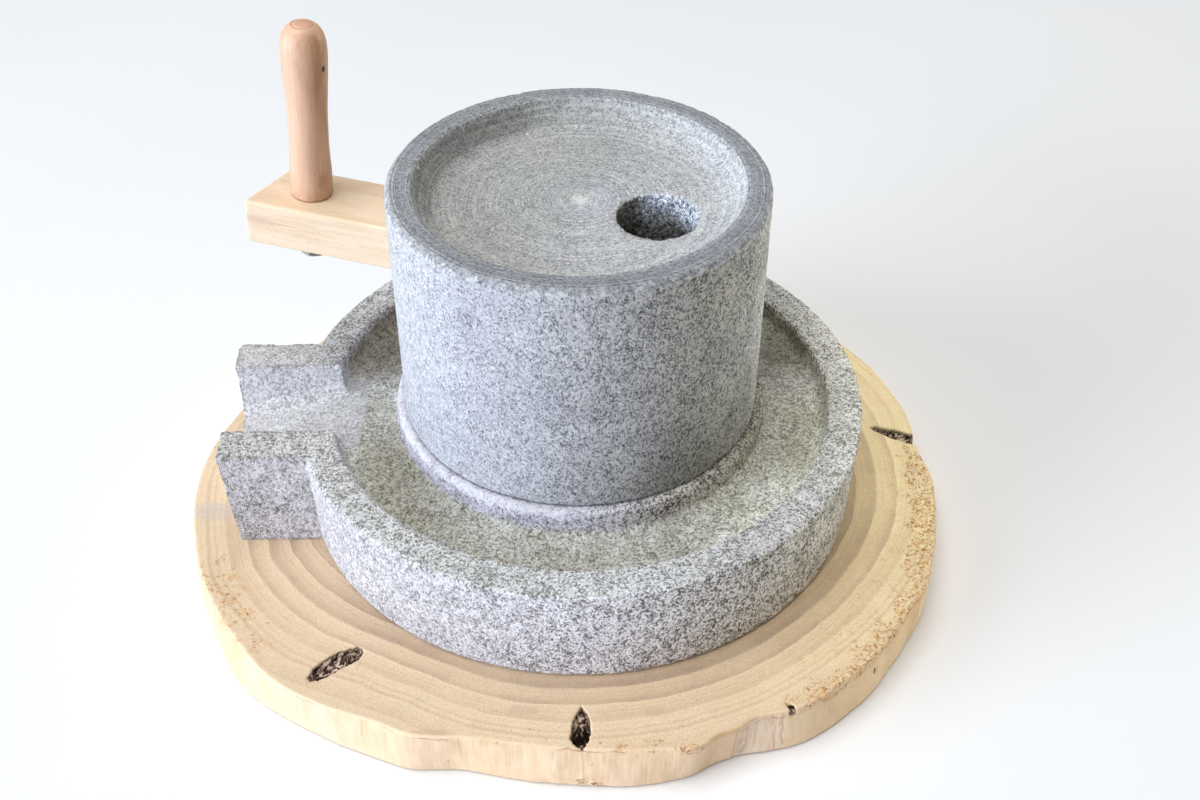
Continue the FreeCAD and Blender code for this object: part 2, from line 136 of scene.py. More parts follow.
def grid_mesh(name, points, quads):
    """points n x 3 in mm, quads a list of index tuples."""
    me = bpy.data.meshes.new(name)
    me.from_pydata([tuple(q) for q in (np.asarray(points) * MM)], [], [tuple(map(int, f)) for f in quads])
    me.validate()
    set_smooth(me)
    me.update()
    return me


def add_field(me, name, values):
    at = me.attributes.get(name) or me.attributes.new(name, "FLOAT", "POINT")
    at.data.foreach_set("value", np.asarray(values, np.float32))


def dense(node, name, voxel):
    """A fine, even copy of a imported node's surface, lying exactly on it."""
    src = NODES[node]
    me = src.data.copy()
    bm = bmesh.new()
    bm.from_mesh(me)
    bmesh.ops.remove_doubles(bm, verts=bm.verts, dist=2e-6)
    bm.to_mesh(me)
    bm.free()
    tmp = new_object(name + "_tmp", me)
    mod = tmp.modifiers.new("fine", "REMESH")
    mod.mode = "VOXEL"
    mod.voxel_size = voxel * MM
    mod.adaptivity = 0.0
    mod.use_smooth_shade = True
    wrap = tmp.modifiers.new("lie_on", "SHRINKWRAP")
    wrap.target = src
    wrap.wrap_method = "NEAREST_SURFACEPOINT"
    bpy.context.view_layer.update()
    dg = bpy.context.evaluated_depsgraph_get()
    out = bpy.data.meshes.new_from_object(tmp.evaluated_get(dg))
    bpy.data.objects.remove(tmp)
    bpy.data.meshes.remove(me)
    out.name = name
    out.materials.clear()
    set_smooth(out)
    return new_object(name, out)


def edge_distance(node, p, least=28.0, reach=6.0, nearest=False, step=0.6):
    """Distance in mm from each point to the node's nearest convex edge sharper than least degrees."""
    bm = bmesh.new()
    bm.from_mesh(NODES[node].data)
    bmesh.ops.remove_doubles(bm, verts=bm.verts, dist=2e-6)
    found = []
    for e in bm.edges:
        if len(e.link_faces) != 2:
            continue
        a, b = e.link_faces
        if a.normal.length < 0.5 or b.normal.length < 0.5:
            continue
        turn = math.degrees(a.normal.angle(b.normal, 0.0))
        if turn < least:
            continue
        if (b.calc_center_median() - a.calc_center_median()).dot(a.normal) > 0:
            continue
        v0, v1 = e.verts[0].co, e.verts[1].co
        n = max(1, int((v1 - v0).length / (step * MM)))
        for k in range(n + 1):
            found.append(v0.lerp(v1, k / n))
    bm.free()
    tree = kdtree.KDTree(len(found))
    for k, co in enumerate(found):
        tree.insert(co, k)
    tree.balance()
    out = np.full(len(p), reach)
    spot = np.array(p, float)
    for k, co in enumerate(np.asarray(p) * MM):
        at, _, d = tree.find(co)
        if d / MM < reach:
            out[k] = d / MM
            spot[k] = np.array(at) / MM
    return (out, spot) if nearest else out


def crisp(ob, angle=32.0):
    """Weld the points that met on an edge and break the shading where faces turn sharply."""
    bm = bmesh.new()
    bm.from_mesh(ob.data)
    bmesh.ops.remove_doubles(bm, verts=bm.verts, dist=0.09 * MM)
    bmesh.ops.dissolve_degenerate(bm, edges=bm.edges, dist=0.02 * MM)
    bmesh.ops.triangulate(bm, faces=[f for f in bm.faces if len(f.verts) > 4])
    bm.to_mesh(ob.data)
    bm.free()
    set_smooth(ob.data)
    ob.data.set_sharp_from_angle(angle=math.radians(angle))
    ob.data.update()


def snap_to_profile(p, profile, reach=0.2):
    """Move points near a turned profile (list of radius, height) exactly onto it."""
    r = np.hypot(p[:, 0], p[:, 1])
    z = p[:, 2]
    best = np.full(len(p), 1e9)
    br, bz = r.copy(), z.copy()
    for (r0, z0), (r1, z1) in zip(profile, profile[1:]):
        dr, dz = r1 - r0, z1 - z0
        t = np.clip(((r - r0) * dr + (z - z0) * dz) / (dr * dr + dz * dz), 0, 1)
        pr, pz = r0 + t * dr, z0 + t * dz
        d = np.hypot(r - pr, z - pz)
        hit = d < best
        best[hit], br[hit], bz[hit] = d[hit], pr[hit], pz[hit]
    take = (best < reach) & (r > 1.0)
    scale = np.where(take, br / np.maximum(r, 1e-6), 1.0)
    p[:, 0] *= scale
    p[:, 1] *= scale
    p[:, 2] = np.where(take, bz, z)
    return p


# ======================================================== material helpers
class Paint:
    """A thin wrapper that builds a node material."""

    def __init__(self, name):
        self.mat = bpy.data.materials.new(name)
        self.mat.use_nodes = True
        self.nt = self.mat.node_tree
        self.nt.nodes.clear()
        self.out = self.nt.nodes.new("ShaderNodeOutputMaterial")
        self.shader = self.nt.nodes.new("ShaderNodeBsdfPrincipled")
        self.nt.links.new(self.shader.outputs["BSDF"], self.out.inputs["Surface"])
        self._coords = None

    def node(self, kind, props=None, **inputs):
        n = self.nt.nodes.new("ShaderNode" + kind)
        for k, v in (props or {}).items():
            setattr(n, k, v)
        for k, v in inputs.items():
            key = int(k[1:]) if k[0] == "i" and k[1:].isdigit() else k.replace("_", " ")
            self.feed(n.inputs[key], v)
        return n

    def feed(self, socket, v):
        if isinstance(v, bpy.types.NodeSocket):
            self.nt.links.new(v, socket)
        else:
            socket.default_value = v

    # coordinates in millimetres, fixed to the piece
    def coords(self, stretch=(1, 1, 1)):
        if self._coords is None:
            self._coords = self.node("TexCoord").outputs["Object"]
        return self.vec("MULTIPLY", self._coords, (1000 * stretch[0], 1000 * stretch[1], 1000 * stretch[2]))

    def vec(self, op, a, b=None, out="Vector"):
        n = self.node("VectorMath", {"operation": op})
        self.feed(n.inputs[0], a)
        if b is not None:
            self.feed(n.inputs[1], b)
        return n.outputs[out]

    def math(self, op, a, b=None, c=None, clamp=False):
        n = self.node("Math", {"operation": op, "use_clamp": clamp})
        self.feed(n.inputs[0], a)
        if b is not None:
            self.feed(n.inputs[1], b)
        if c is not None:
            self.feed(n.inputs[2], c)
        return n.outputs[0]

    def span(self, x, a, b, lo=0.0, hi=1.0, soft=True):
        n = self.node("MapRange", {"interpolation_type": "SMOOTHSTEP" if soft else "LINEAR"})
        self.feed(n.inputs["Value"], x)
        n.inputs["From Min"].default_value = a
        n.inputs["From Max"].default_value = b
        n.inputs["To Min"].default_value = lo
        n.inputs["To Max"].default_value = hi
        return n.outputs[0]

    def noise(self, vec, size, detail=2.0, rough=0.5, distort=0.0, color=False, kind="3D", w=None):
        n = self.node("TexNoise", {"noise_dimensions": kind})
        if kind != "1D":
            self.feed(n.inputs["Vector"], vec)
        if w is not None:
            self.feed(n.inputs["W"], w)
        n.inputs["Scale"].default_value = 1.0 / size
        n.inputs["Detail"].default_value = detail
        n.inputs["Roughness"].default_value = rough
        n.inputs["Distortion"].default_value = distort
        return n.outputs["Color" if color else "Fac"]

    def cells(self, vec, size, feature="F1", out="Color", rand=1.0):
        n = self.node("TexVoronoi", {"feature": feature})
        self.feed(n.inputs["Vector"], vec)
        n.inputs["Scale"].default_value = 1.0 / size
        n.inputs["Randomness"].default_value = rand
        return n.outputs[out]

    def split(self, color):
        return self.node("SeparateColor", Color=color).outputs

    def xyz(self, vec):
        return self.node("SeparateXYZ", Vector=vec).outputs

    def join(self, x, y, z):
        return self.node("CombineXYZ", X=x, Y=y, Z=z).outputs[0]

    def ramp(self, x, stops, kind="LINEAR"):
        n = self.node("ValToRGB")
        n.color_ramp.interpolation = kind
        el = n.color_ramp.elements
        while len(el) > 1:
            el.remove(el[-1])
        el[0].position = stops[0][0]
        el[0].color = tuple(stops[0][1]) + (1.0,)
        for pos, col in stops[1:]:
            e = el.new(pos)
            e.color = tuple(col) + (1.0,)
        self.feed(n.inputs["Fac"], x)
        return n.outputs["Color"]

    def blend(self, fac, a, b, kind="MIX"):
        n = self.node("Mix", {"data_type": "RGBA", "blend_type": kind})
        self.feed(n.inputs[0], fac)
        self.feed(n.inputs[6], a if isinstance(a, bpy.types.NodeSocket) else tuple(a) + (1.0,))
        self.feed(n.inputs[7], b if isinstance(b, bpy.types.NodeSocket) else tuple(b) + (1.0,))
        return n.outputs[2]

    def field(self, name):
        return self.node("Attribute", {"attribute_name": name, "attribute_type": "GEOMETRY"}).outputs["Fac"]

    def bump(self, height, depth, strength=1.0, under=None):
        n = self.node("Bump")
        n.inputs["Strength"].default_value = strength
        n.inputs["Distance"].default_value = depth * MM
        self.feed(n.inputs["Height"], height)
        if under is not None:
            self.feed(n.inputs["Normal"], under)
        return n.outputs[0]

    def finish(self, color, rough, normal=None, specular=0.5, metallic=0.0, **constants):
        s = self.shader
        self.feed(s.inputs["Base Color"], color if isinstance(color, bpy.types.NodeSocket) else tuple(color) + (1.0,))
        self.feed(s.inputs["Roughness"], rough)
        if normal is not None:
            self.feed(s.inputs["Normal"], normal)
        s.inputs["Specular IOR Level"].default_value = specular
        s.inputs["Metallic"].default_value = metallic
        for k, v in constants.items():
            s.inputs[k.replace("_", " ")].default_value = v
        return self.mat


def show(node, mat):
    """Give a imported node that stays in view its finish."""
    me = NODES[node].data
    me.materials.clear()
    me.materials.append(mat)


def stand_in(ob, node, body, mat):
    ob.data.materials.clear()
    ob.data.materials.append(mat)
    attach(ob, body)
    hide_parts(node)


# ================================================================= camera
def make_camera():
    pitch, yaw, roll = (math.radians(a) for a in (40.5736, 1.0886, 0.2326))
    fwd = Vector((math.sin(yaw) * math.cos(pitch), math.cos(yaw) * math.cos(pitch), -math.sin(pitch)))
    right = Vector((math.cos(yaw), -math.sin(yaw), 0.0))
    up = right.cross(fwd)
    r2 = math.cos(roll) * right + math.sin(roll) * up
    u2 = -math.sin(roll) * right + math.cos(roll) * up
    data = bpy.data.cameras.new("view")
    data.lens = 40.128
    data.sensor_width = 36.0
    data.sensor_fit = "HORIZONTAL"
    data.clip_start = 0.01
    data.clip_end = 20.0
    cam = bpy.data.objects.new("view", data)
    bpy.context.scene.collection.objects.link(cam)
    m = Matrix.Identity(4)
    for k, axis in enumerate((r2, u2, -fwd)):
        for j in range(3):
            m[j][k] = axis[j]
    m[0][3], m[1][3], m[2][3] = 0.0, -0.46004, 0.45872
    cam.matrix_world = m
    bpy.context.scene.camera = cam


make_camera()

# ================================================================== stones
RUN_TOP, RUN_FOOT = 180.9, 74.8
FEED = (31.0, -11.7)
# direction the window light comes from, used to paint light and shade on both stones
KEY_LIGHT_DIR = (math.cos(math.radians(212.0)), math.sin(math.radians(212.0)))
ARM_ROT = Matrix.Rotation(math.radians(167.36), 3, "Z") @ Matrix.Rotation(math.radians(-5.17), 3, "Y")
ARM_ORG = np.array([0.0, 0.0, 149.2])
ARM_M = np.array([list(row) for row in ARM_ROT])


def to_arm(p):
    return (np.asarray(p) - ARM_ORG) @ ARM_M


def from_arm(q):
    return np.asarray(q) @ ARM_M.T + ARM_ORG


def dish_wall(n=14):
    floor_r, rim_r, deep = 52.0, 66.9, 10.4
    reach = rim_r - floor_r
    bow = (reach ** 2 + deep ** 2) / (2 * deep)
    sweep = math.asin(reach / bow)
    z0 = RUN_TOP - deep
    return [(floor_r + bow * math.sin(sweep * k / n), z0 + bow * (1 - math.cos(sweep * k / n))) for k in range(n + 1)]


def make_runner():
    ob = dense("runner_stone", "runner_stone_cut", 1.18)
    me = ob.data
    p = get_points(me)
    profile = [(28.0, RUN_FOOT + 0.8), (44.0, RUN_FOOT), (77.2, RUN_FOOT), (78.0, RUN_FOOT + 0.8), (77.0, RUN_TOP - 2.2),
               (75.2, RUN_TOP), (67.5, RUN_TOP), (66.9, RUN_TOP - 0.6)]
    p = snap_to_profile(p, profile)
    r = np.hypot(p[:, 0], p[:, 1])
    z = p[:, 2]
    # the dish wall is one smooth hollow curve
    wall = np.array(dish_wall())
    near = (r > 51.5) & (r < 67.0) & (z > RUN_TOP - 11.5) & (z < RUN_TOP - 0.5)
    want = np.interp(r, wall[:, 0], wall[:, 1])
    close = near & (np.abs(want - z) < 0.9)
    p[close, 2] = want[close]
    set_points(me, p)
    nrm = get_normals(me)
    z = p[:, 2]
    edge = edge_distance("runner_stone", p)
    q = to_arm(p)
    in_mortise = (q[:, 0] > 30) & (q[:, 0] < 76.5) & (np.abs(q[:, 1]) < 16.6) & (q[:, 2] > -21.0) & (q[:, 2] < 0.8) & (r < 76.6)
    from_feed = np.hypot(p[:, 0] - FEED[0], p[:, 1] - FEED[1])
    in_hole = (from_feed < 17.4) & (z < RUN_TOP - 10.8) & (z > RUN_FOOT + 1.5)
    hole_edge = smooth(21.0, 16.5, from_feed) * smooth(RUN_TOP - 15, RUN_TOP - 11, z) * (z < RUN_TOP - 8)
    bottom = (z < RUN_FOOT + 2.0) & (r < 76.5)
    side = (r > 76.2) & (z > RUN_FOOT + 0.7) & (z < RUN_TOP - 1.8)
    dish = (r < 66.5) & (z > RUN_TOP - 11.6) & (nrm[:, 2] > 0.2)
    rim = (r > 66.5) & (z > RUN_TOP - 2.4)

    # everywhere: a hand-dressed stone is never quite true
    d = 0.10 * noise(p, 34.0, 3) + 0.05 * noise(p, 12.0, 4)
    d += np.where(side, 0.05 * layered(p * [1, 1, 0.55], 3.4, 5, 2), 0.0)
    # turning marks in the dish and on the rim
    ang = np.arctan2(p[:, 1], p[:, 0])
    rr = r + 0.25 * np.sin(ang + 1.1) + 0.12 * noise(p, 25.0, 8)
    rings = 0.05 * line(rr, 3.4, 11) + 0.06 * line(rr, 8.5, 12)
    d += np.where(dish, rings + 0.03 * noise(p, 3.0, 13), 0.0)
    d += np.where(rim, 0.03 * line(rr, 2.4, 14), 0.0)
    # a small dimple is left at the centre of the dish
    d += np.where(dish, -0.28 * np.exp(-(r / 2.6) ** 2) + 0.10 * np.exp(-((r - 4.4) / 1.4) ** 2), 0.0)
    # the feed hole is chiselled, not bored
    hole = 0.55 * layered(p * [1, 1, 0.8], 5.2, 21, 2, 0.55)
    d = np.where(in_hole, hole * smooth(RUN_FOOT + 1.5, RUN_FOOT + 9.0, z), d)
    # chips along the edges
    chip = smooth(0.10, 0.75, noise(p, 3.4, 31)) * 0.42 + smooth(0.30, 0.8, noise(p, 8.0, 32)) * 0.5
    d -= np.where(bottom & (edge > 1.2), 0.0, chip * np.exp(-(edge / 0.95) ** 2)) * np.where(in_mortise, 0.0, 1.0)
    d = np.where(bottom, np.minimum(d, 0.0) * 0.4 - 0.02, d)
    d = np.where(in_mortise, 0.0, d)
    p = p + nrm * d[:, None]
    # the mouth of the hole has a scalloped lip
    push = 0.6 * noise(p, 4.6, 41) + 0.35 * noise(p, 2.6, 42)
    out = np.stack([p[:, 0] - FEED[0], p[:, 1] - FEED[1]], 1) / np.maximum(from_feed, 1e-6)[:, None]
    w = hole_edge * smooth(13.0, 15.8, from_feed)
    p[:, 0] += out[:, 0] * push * w
    p[:, 1] += out[:, 1] * push * w
    p[:, 2] -= 0.45 * np.exp(-((from_feed - 17.0) / 1.1) ** 2) * (dish | in_hole) * (0.6 + 0.8 * noise(p, 3.6, 43))
    # stay inside the CAD outline
    r = np.hypot(p[:, 0], p[:, 1])
    limit = np.minimum(1.0, 78.15 / np.maximum(r, 1e-6))
    p[:, 0] *= limit
    p[:, 1] *= limit
    p[:, 2] = np.clip(p[:, 2], RUN_FOOT - 0.02, RUN_TOP + 0.12)
    set_points(me, p)
    add_field(me, "rim", np.where(r > 60, smooth(65.8, 67.4, r) * smooth(RUN_TOP - 3.4, RUN_TOP - 1.6, p[:, 2]), 0))
    add_field(me, "dish", smooth(67.2, 65.6, r) * smooth(RUN_TOP - 12.5, RUN_TOP - 11.2, p[:, 2]))
    add_field(me, "hole", (in_hole | ((from_feed < 16.4) & (p[:, 2] < RUN_TOP - 10.9))).astype(float))
    add_field(me, "edge", np.exp(-(edge / 0.9) ** 2))
    # which way each point looks round the axis: 1 towards the side the window light comes from, used to paint light
    # and shade on the stone
    r = np.maximum(np.hypot(p[:, 0], p[:, 1]), 1e-6)
    add_field(me, "pale", (p[:, 0] * KEY_LIGHT_DIR[0] + p[:, 1] * KEY_LIGHT_DIR[1]) / r)
    add_field(me, "inner", ((p[:, 0] - FEED[0]) * KEY_LIGHT_DIR[0] + (p[:, 1] - FEED[1]) * KEY_LIGHT_DIR[1]) / np.maximum(from_feed, 1e-6))
    return ob


def cut_flat_underside(ob, level, inset=3.0):
    """Swap the even mesh on a hidden flat underside for one large face."""
    me = ob.data
    bm = bmesh.new()
    bm.from_mesh(me)
    bm.verts.ensure_lookup_table()
    low = {v for v in bm.verts if v.co.z / MM < level + 0.05}
    rim = {v for v in low if any(o not in low for e in v.link_edges for o in e.verts)}
    near = set(rim)
    for _ in range(2):
        near |= {o for v in near for e in v.link_edges for o in e.verts if o in low}
    doomed = [f for f in bm.faces if all(v in low and v not in near for v in f.verts)]
    bmesh.ops.delete(bm, geom=doomed, context="FACES")
    loose = [v for v in bm.verts if not v.link_faces]
    bmesh.ops.delete(bm, geom=loose, context="VERTS")
    border = [e for e in bm.edges if len(e.link_faces) == 1]
    made = bmesh.ops.holes_fill(bm, edges=border, sides=0)
    fill = made["faces"]
    bmesh.ops.recalc_face_normals(bm, faces=bm.faces)
    bmesh.ops.triangulate(bm, faces=fill)
    bm.to_mesh(me)
    bm.free()
    me.update()
    set_smooth(me)


BED_LOW, BED_RIM, BED_BOSS, BED_TROUGH = 24.0, 73.3, 74.5, 62.3


def make_bed():
    ob = dense("bed_stone", "bed_stone_cut", 1.17)
    me = ob.data
    p = get_points(me)
    profile = [(122.2, BED_LOW), (124.0, BED_LOW + 1.8), (125.1, BED_RIM - 0.9), (124.2, BED_RIM),
               (111.3, BED_RIM), (110.4, BED_RIM - 0.9), (108.9, BED_TROUGH + 2.3), (106.6, BED_TROUGH),
               (84.2, BED_TROUGH), (81.9, BED_TROUGH + 2.3), (81.7, BED_BOSS - 2.6), (81.2, BED_BOSS - 0.9),
               (80.0, BED_BOSS), (64.0, BED_BOSS)]
    before = p.copy()
    p = snap_to_profile(p, profile, 0.95)
    # the spout's channel and block keep their own faces
    keep = (before[:, 0] < -92) & (before[:, 1] > -34) & (before[:, 1] < 24) & (before[:, 2] < BED_RIM - 0.3) & (before[:, 2] > BED_LOW + 30)
    p[keep] = before[keep]
    # pull the nearest points onto the real edges
    gap, spot = edge_distance("bed_stone", p, least=24.0, nearest=True, step=0.2)
    close = (gap < 0.62) & (np.hypot(p[:, 0], p[:, 1]) > 78.0) & (p[:, 2] > BED_LOW + 3.0)
    p[close] = spot[close]
    set_points(me, p)
    crisp(ob)
    me = ob.data
    cut_flat_underside(ob, BED_LOW)
    p = get_points(me)
    nrm = get_normals(me)
    r = np.hypot(p[:, 0], p[:, 1])
    z = p[:, 2]
    edge = edge_distance("bed_stone", p, least=24.0)
    under = z < BED_LOW + 0.4
    boss_top = (r < 80.2) & (z > BED_BOSS - 2.4)
    bore = (r < 12.5)
    trough = (r < 110.0) & (r > 79.5) & (z < BED_RIM - 1.2) & (z > BED_LOW + 5)
    channel = (p[:, 0] < -95) & (p[:, 1] > -31) & (p[:, 1] < 19) & (z < BED_RIM - 0.6) & (z > BED_TROUGH - 15)
    spout = p[:, 0] < -112.5

    rough = layered(p, 3.0, 51, 2, 0.6)
    pits = smooth(0.28, 0.75, noise(p, 3.6, 52)) + 0.8 * smooth(0.35, 0.8, noise(p, 6.4, 53))
    d = 0.22 * noise(p, 22.0, 54) + 0.13 * rough - 0.30 * pits + 0.05
    soft = 0.20 * noise(p, 17.0, 55) + 0.09 * layered(p, 3.6, 56, 2) - 0.10 * smooth(0.3, 0.8, noise(p, 3.8, 57))
    d = np.where(trough | channel, soft, d)
    boss_wall = (r < 82.2) & (r > 79.5) & (z > BED_TROUGH + 2.6) & (z < BED_BOSS - 0.2)
    d = np.where(boss_wall, 0.10 * noise(p, 12.0, 58) + 0.17 * rough - 0.2 * pits, d)
    saw = (spout & (np.abs(nrm[:, 2]) < 0.4) & (np.abs(nrm[:, 0]) > 0.7))
    d = np.where(saw, d * 0.6, d)
    chip = smooth(0.15, 0.8, noise(p, 3.0, 61)) * 0.38 + smooth(0.45, 0.9, noise(p, 8.0, 62)) * 0.55
    d -= chip * np.exp(-(edge / 0.9) ** 2)
    d = np.where(boss_top, np.minimum(0.0, 0.05 * noise(p, 9.0, 63)) - 0.02, d)
    d = np.where(boss_top & (r > 77.6), -0.02 - chip * 0.7 * np.exp(-(edge / 1.1) ** 2), d)
    d = np.where(under, 0.0, d)
    d = np.where(bore, 0.0, d)
    p = p + nrm * d[:, None]
    # the rim's outline wanders a little, more on the outer edge
    wander = 0.40 * noise(p, 15.0, 71) + 0.15 * noise(p, 7.0, 72)
    on_rim = smooth(108.0, 110.5, r) * smooth(BED_RIM - 4.0, BED_RIM - 1.0, p[:, 2]) * (~spout) * (np.abs(r - 118.0) > 3)
    p[:, 0] += p[:, 0] / r * wander * on_rim * 0.6
    p[:, 1] += p[:, 1] / r * wander * on_rim * 0.6
    p[:, 2] = np.maximum(p[:, 2], BED_LOW)
    set_points(me, p)
    r = np.hypot(p[:, 0], p[:, 1])
    z = p[:, 2]
    up = get_normals(me)[:, 2]
    add_field(me, "trough", np.where((trough & ~boss_wall) & ~(channel & (p[:, 0] < -97)), 1.0, 0.0))
    add_field(me, "chute", np.where(channel & (p[:, 0] < -97), smooth(0.35, 0.85, up), 0.0))
    add_field(me, "cheek", np.where(channel & (p[:, 0] < -97), smooth(0.85, 0.35, up), 0.0))
    add_field(me, "pale", (p[:, 0] * KEY_LIGHT_DIR[0] + p[:, 1] * KEY_LIGHT_DIR[1]) / np.maximum(r, 1e-6))
    add_field(me, "boss", np.where(boss_wall | ((r < 81.5) & (r > 77.5) & (z > BED_BOSS - 1.4)), 1.0, 0.0))
    add_field(me, "face", np.where(r < 77.8, 1.0, 0.0))
    add_field(me, "edge", np.exp(-(edge / 1.1) ** 2))
    add_field(me, "flat", smooth(0.50, 0.80, up) * smooth(BED_RIM - 2.2, BED_RIM - 1.2, z) * (r > 100))
    return ob


def warped(m, mm, size, amount):
    return m.vec("ADD", mm, m.vec("MULTIPLY", m.vec("SUBTRACT", m.noise(mm, size, 2.0, color=True), (0.5, 0.5, 0.5)), (amount,) * 3))


def granite(m, mm, grain):
    """Speckled stone: a value that is low in dark minerals and high in pale ones.  grain is in mm."""
    bent = warped(m, mm, grain * 1.3, grain * 0.55)
    tiny = m.split(m.cells(bent, grain))
    tiny2 = m.split(m.cells(m.vec("ADD", bent, (31.0, 7.0, 13.0)), grain * 0.66))
    soft = m.noise(mm, grain * 2.1, 3.0, 0.72)
    clump = m.noise(m.vec("ADD", mm, (5.0, 17.0, 3.0)), grain * 6.0, 2.0, 0.6)
    return tiny, tiny2, soft, clump


def weigh(m, parts, gain=None):
    """Sum of (value, weight), each value taken about one half, the sum placed about one half."""
    total = None
    for value, weight in parts:
        term = m.math("MULTIPLY", m.math("SUBTRACT", value, 0.5), weight)
        total = term if total is None else m.math("ADD", total, term)
    if gain is not None:
        total = m.math("MULTIPLY", total, gain)
    return m.math("ADD", total, 0.5)


def radius(m, raw):
    ax = m.xyz(raw)
    return m.math("SQRT", m.math("ADD", m.math("MULTIPLY", ax[0], ax[0]), m.math("MULTIPLY", ax[1], ax[1]))), ax


def granite_runner():
    m = Paint("granite_runner")
    raw = m.coords()
    mm = m.coords((1, 1, 0.72))
    tiny, tiny2, soft, clump = granite(m, mm, 0.62)
    rad, ax = radius(m, raw)
    rim, dish, hole, edge = m.field("rim"), m.field("dish"), m.field("hole"), m.field("edge")
    facing_key, inner = m.field("pale"), m.field("inner")
    top = m.math("ADD", m.math("ADD", rim, dish), hole, clamp=True)
    flank = m.math("SUBTRACT", 1.0, top)
    # painted light: the speckle is fainter on the flank facing the window, as if washed out by light, and stronger on
    # the side away from it
    gain = m.math("ADD", m.math("MULTIPLY", m.span(facing_key, -0.1, 0.95, 1.32, 0.68), flank), top)
    slow = m.noise(raw, 10.0, 3.0, 0.6)
    v = weigh(m, [(tiny[0], 0.64), (tiny2[1], 0.50), (soft, 1.10), (clump, 0.50), (slow, 0.40)], gain)
    col = m.ramp(v, [(0.08, (0.105, 0.107, 0.112)), (0.24, (0.225, 0.23, 0.24)), (0.38, (0.355, 0.36, 0.37)), (0.52, (0.455, 0.46, 0.47)), (0.68, (0.545, 0.55, 0.555)), (0.92, (0.66, 0.66, 0.655))])
    drift = m.noise(raw, 48.0, 2.0, 0.5)
    col = m.blend(0.8, col, m.ramp(drift, [(0.34, (0.90, 0.905, 0.92)), (0.50, (1.0, 1.0, 1.0)), (0.66, (1.06, 1.055, 1.03))]), "MULTIPLY")
    # painted light on the flank: bluish and paler towards the lit left, painted shade drab towards the right, a
    # painted bright edge at the far right, and darker low down towards the right
    across = m.math("MULTIPLY", m.math("ADD", m.math("DIVIDE", ax[0], 78.0), 1.0), 0.5)
    across = m.math("ADD", across, m.math("MULTIPLY", m.math("SUBTRACT", m.noise(raw, 15.0, 2.0), 0.5), 0.16))
    tint = m.ramp(across, [(0.0, (1.06, 1.06, 1.12)), (0.36, (1.04, 1.03, 1.10)), (0.60, (0.96, 0.94, 0.95)), (0.80, (0.83, 0.81, 0.73)), (0.91, (1.02, 1.0, 0.90)), (1.0, (1.56, 1.57, 1.44))])
    col = m.blend(flank, col, m.blend(1.0, col, tint, "MULTIPLY"))
    # darker low down towards the right
    low_right_dark = m.math("MULTIPLY", m.math("MULTIPLY", m.span(ax[2], 122.0, 84.0), m.span(ax[0], 8.0, 44.0)), flank)
    col = m.blend(m.math("MULTIPLY", low_right_dark, 0.9), col, m.blend(1.0, col, (0.74, 0.74, 0.72), "MULTIPLY"))
    # turning rings in the dish, seen as thin lighter and darker circles
    wob = m.math("ADD", rad, m.math("MULTIPLY", m.noise(raw, 36.0, 1.0), 2.2))
    ringA = m.noise(None, 1.25, 2.0, 0.65, kind="1D", w=wob)
    ringB = m.noise(None, 5.5, 1.0, 0.5, kind="1D", w=wob)
    arcs = m.span(m.noise(raw, 16.0, 2.0), 0.40, 0.62)
    rings = weigh(m, [(ringA, 0.70), (ringB, 0.45)])
    ring_tone = m.ramp(rings, [(0.32, (0.77, 0.78, 0.81)), (0.50, (1.0, 1.0, 1.0)), (0.68, (1.23, 1.23, 1.22))])
    floor = m.blend(0.34, col, (0.462, 0.468, 0.464))
    floor = m.blend(m.math("ADD", m.math("MULTIPLY", arcs, 0.45), 0.40), floor, m.blend(1.0, floor, ring_tone, "MULTIPLY"))
    # fine close circles about the middle
    close_by = m.noise(None, 0.85, 1.0, 0.5, kind="1D", w=m.math("ADD", rad, m.math("MULTIPLY", m.noise(raw, 18.0, 1.0), 1.4)))
    close_by = m.math("MULTIPLY", m.span(close_by, 0.40, 0.60, -0.15, 0.15), m.span(rad, 40.0, 16.0, 0.25, 1.0))
    floor = m.blend(1.0, floor, m.join(m.math("ADD", close_by, 1.0), m.math("ADD", close_by, 1.0), m.math("ADD", close_by, 1.0)), "MULTIPLY")
    # painted shade darkens the back-left hollow of the dish wall, away from the window light, and painted light
    # brightens the floor towards the front-right
    lean = m.math("DIVIDE", m.math("ADD", m.math("MULTIPLY", ax[0], -0.875), m.math("MULTIPLY", ax[1], 0.485)), m.math("ADD", rad, 0.01))
    dish_wall_shade = m.math("MULTIPLY", m.span(m.math("ADD", rad, m.math("MULTIPLY", m.noise(raw, 9.0, 2.0), 5.0)), 57.0, 64.0), m.span(lean, 0.48, 0.92))
    floor = m.blend(m.math("MULTIPLY", dish_wall_shade, 0.95), floor, m.blend(1.0, floor, (0.50, 0.51, 0.49), "MULTIPLY"))
    # painted light: the floor paler and bluer towards the front-right, a little darker towards the back-left
    floor = m.blend(m.span(lean, 0.5, -0.8), m.blend(1.0, floor, (0.97, 0.97, 0.96), "MULTIPLY"), m.blend(1.0, floor, (1.13, 1.13, 1.16), "MULTIPLY"))
    col = m.blend(dish, col, floor)
    # thin pale arcs, the strongest where wall and floor of the dish meet
    thin = m.span(ringA, 0.60, 0.70)
    thin = m.math("MULTIPLY", m.math("MULTIPLY", thin, m.span(m.noise(raw, 12.0, 2.0), 0.52, 0.68)), dish)
    col = m.blend(m.math("MULTIPLY", thin, 0.38), col, (0.66, 0.67, 0.68))
    pale = m.math("MULTIPLY", m.math("MULTIPLY", m.span(rad, 49.6, 50.4), m.span(rad, 52.2, 51.0)), m.span(m.noise(raw, 11.0, 2.0), 0.38, 0.66))
    col = m.blend(m.math("MULTIPLY", m.math("MULTIPLY", pale, dish), 0.62), col, (0.68, 0.69, 0.67))
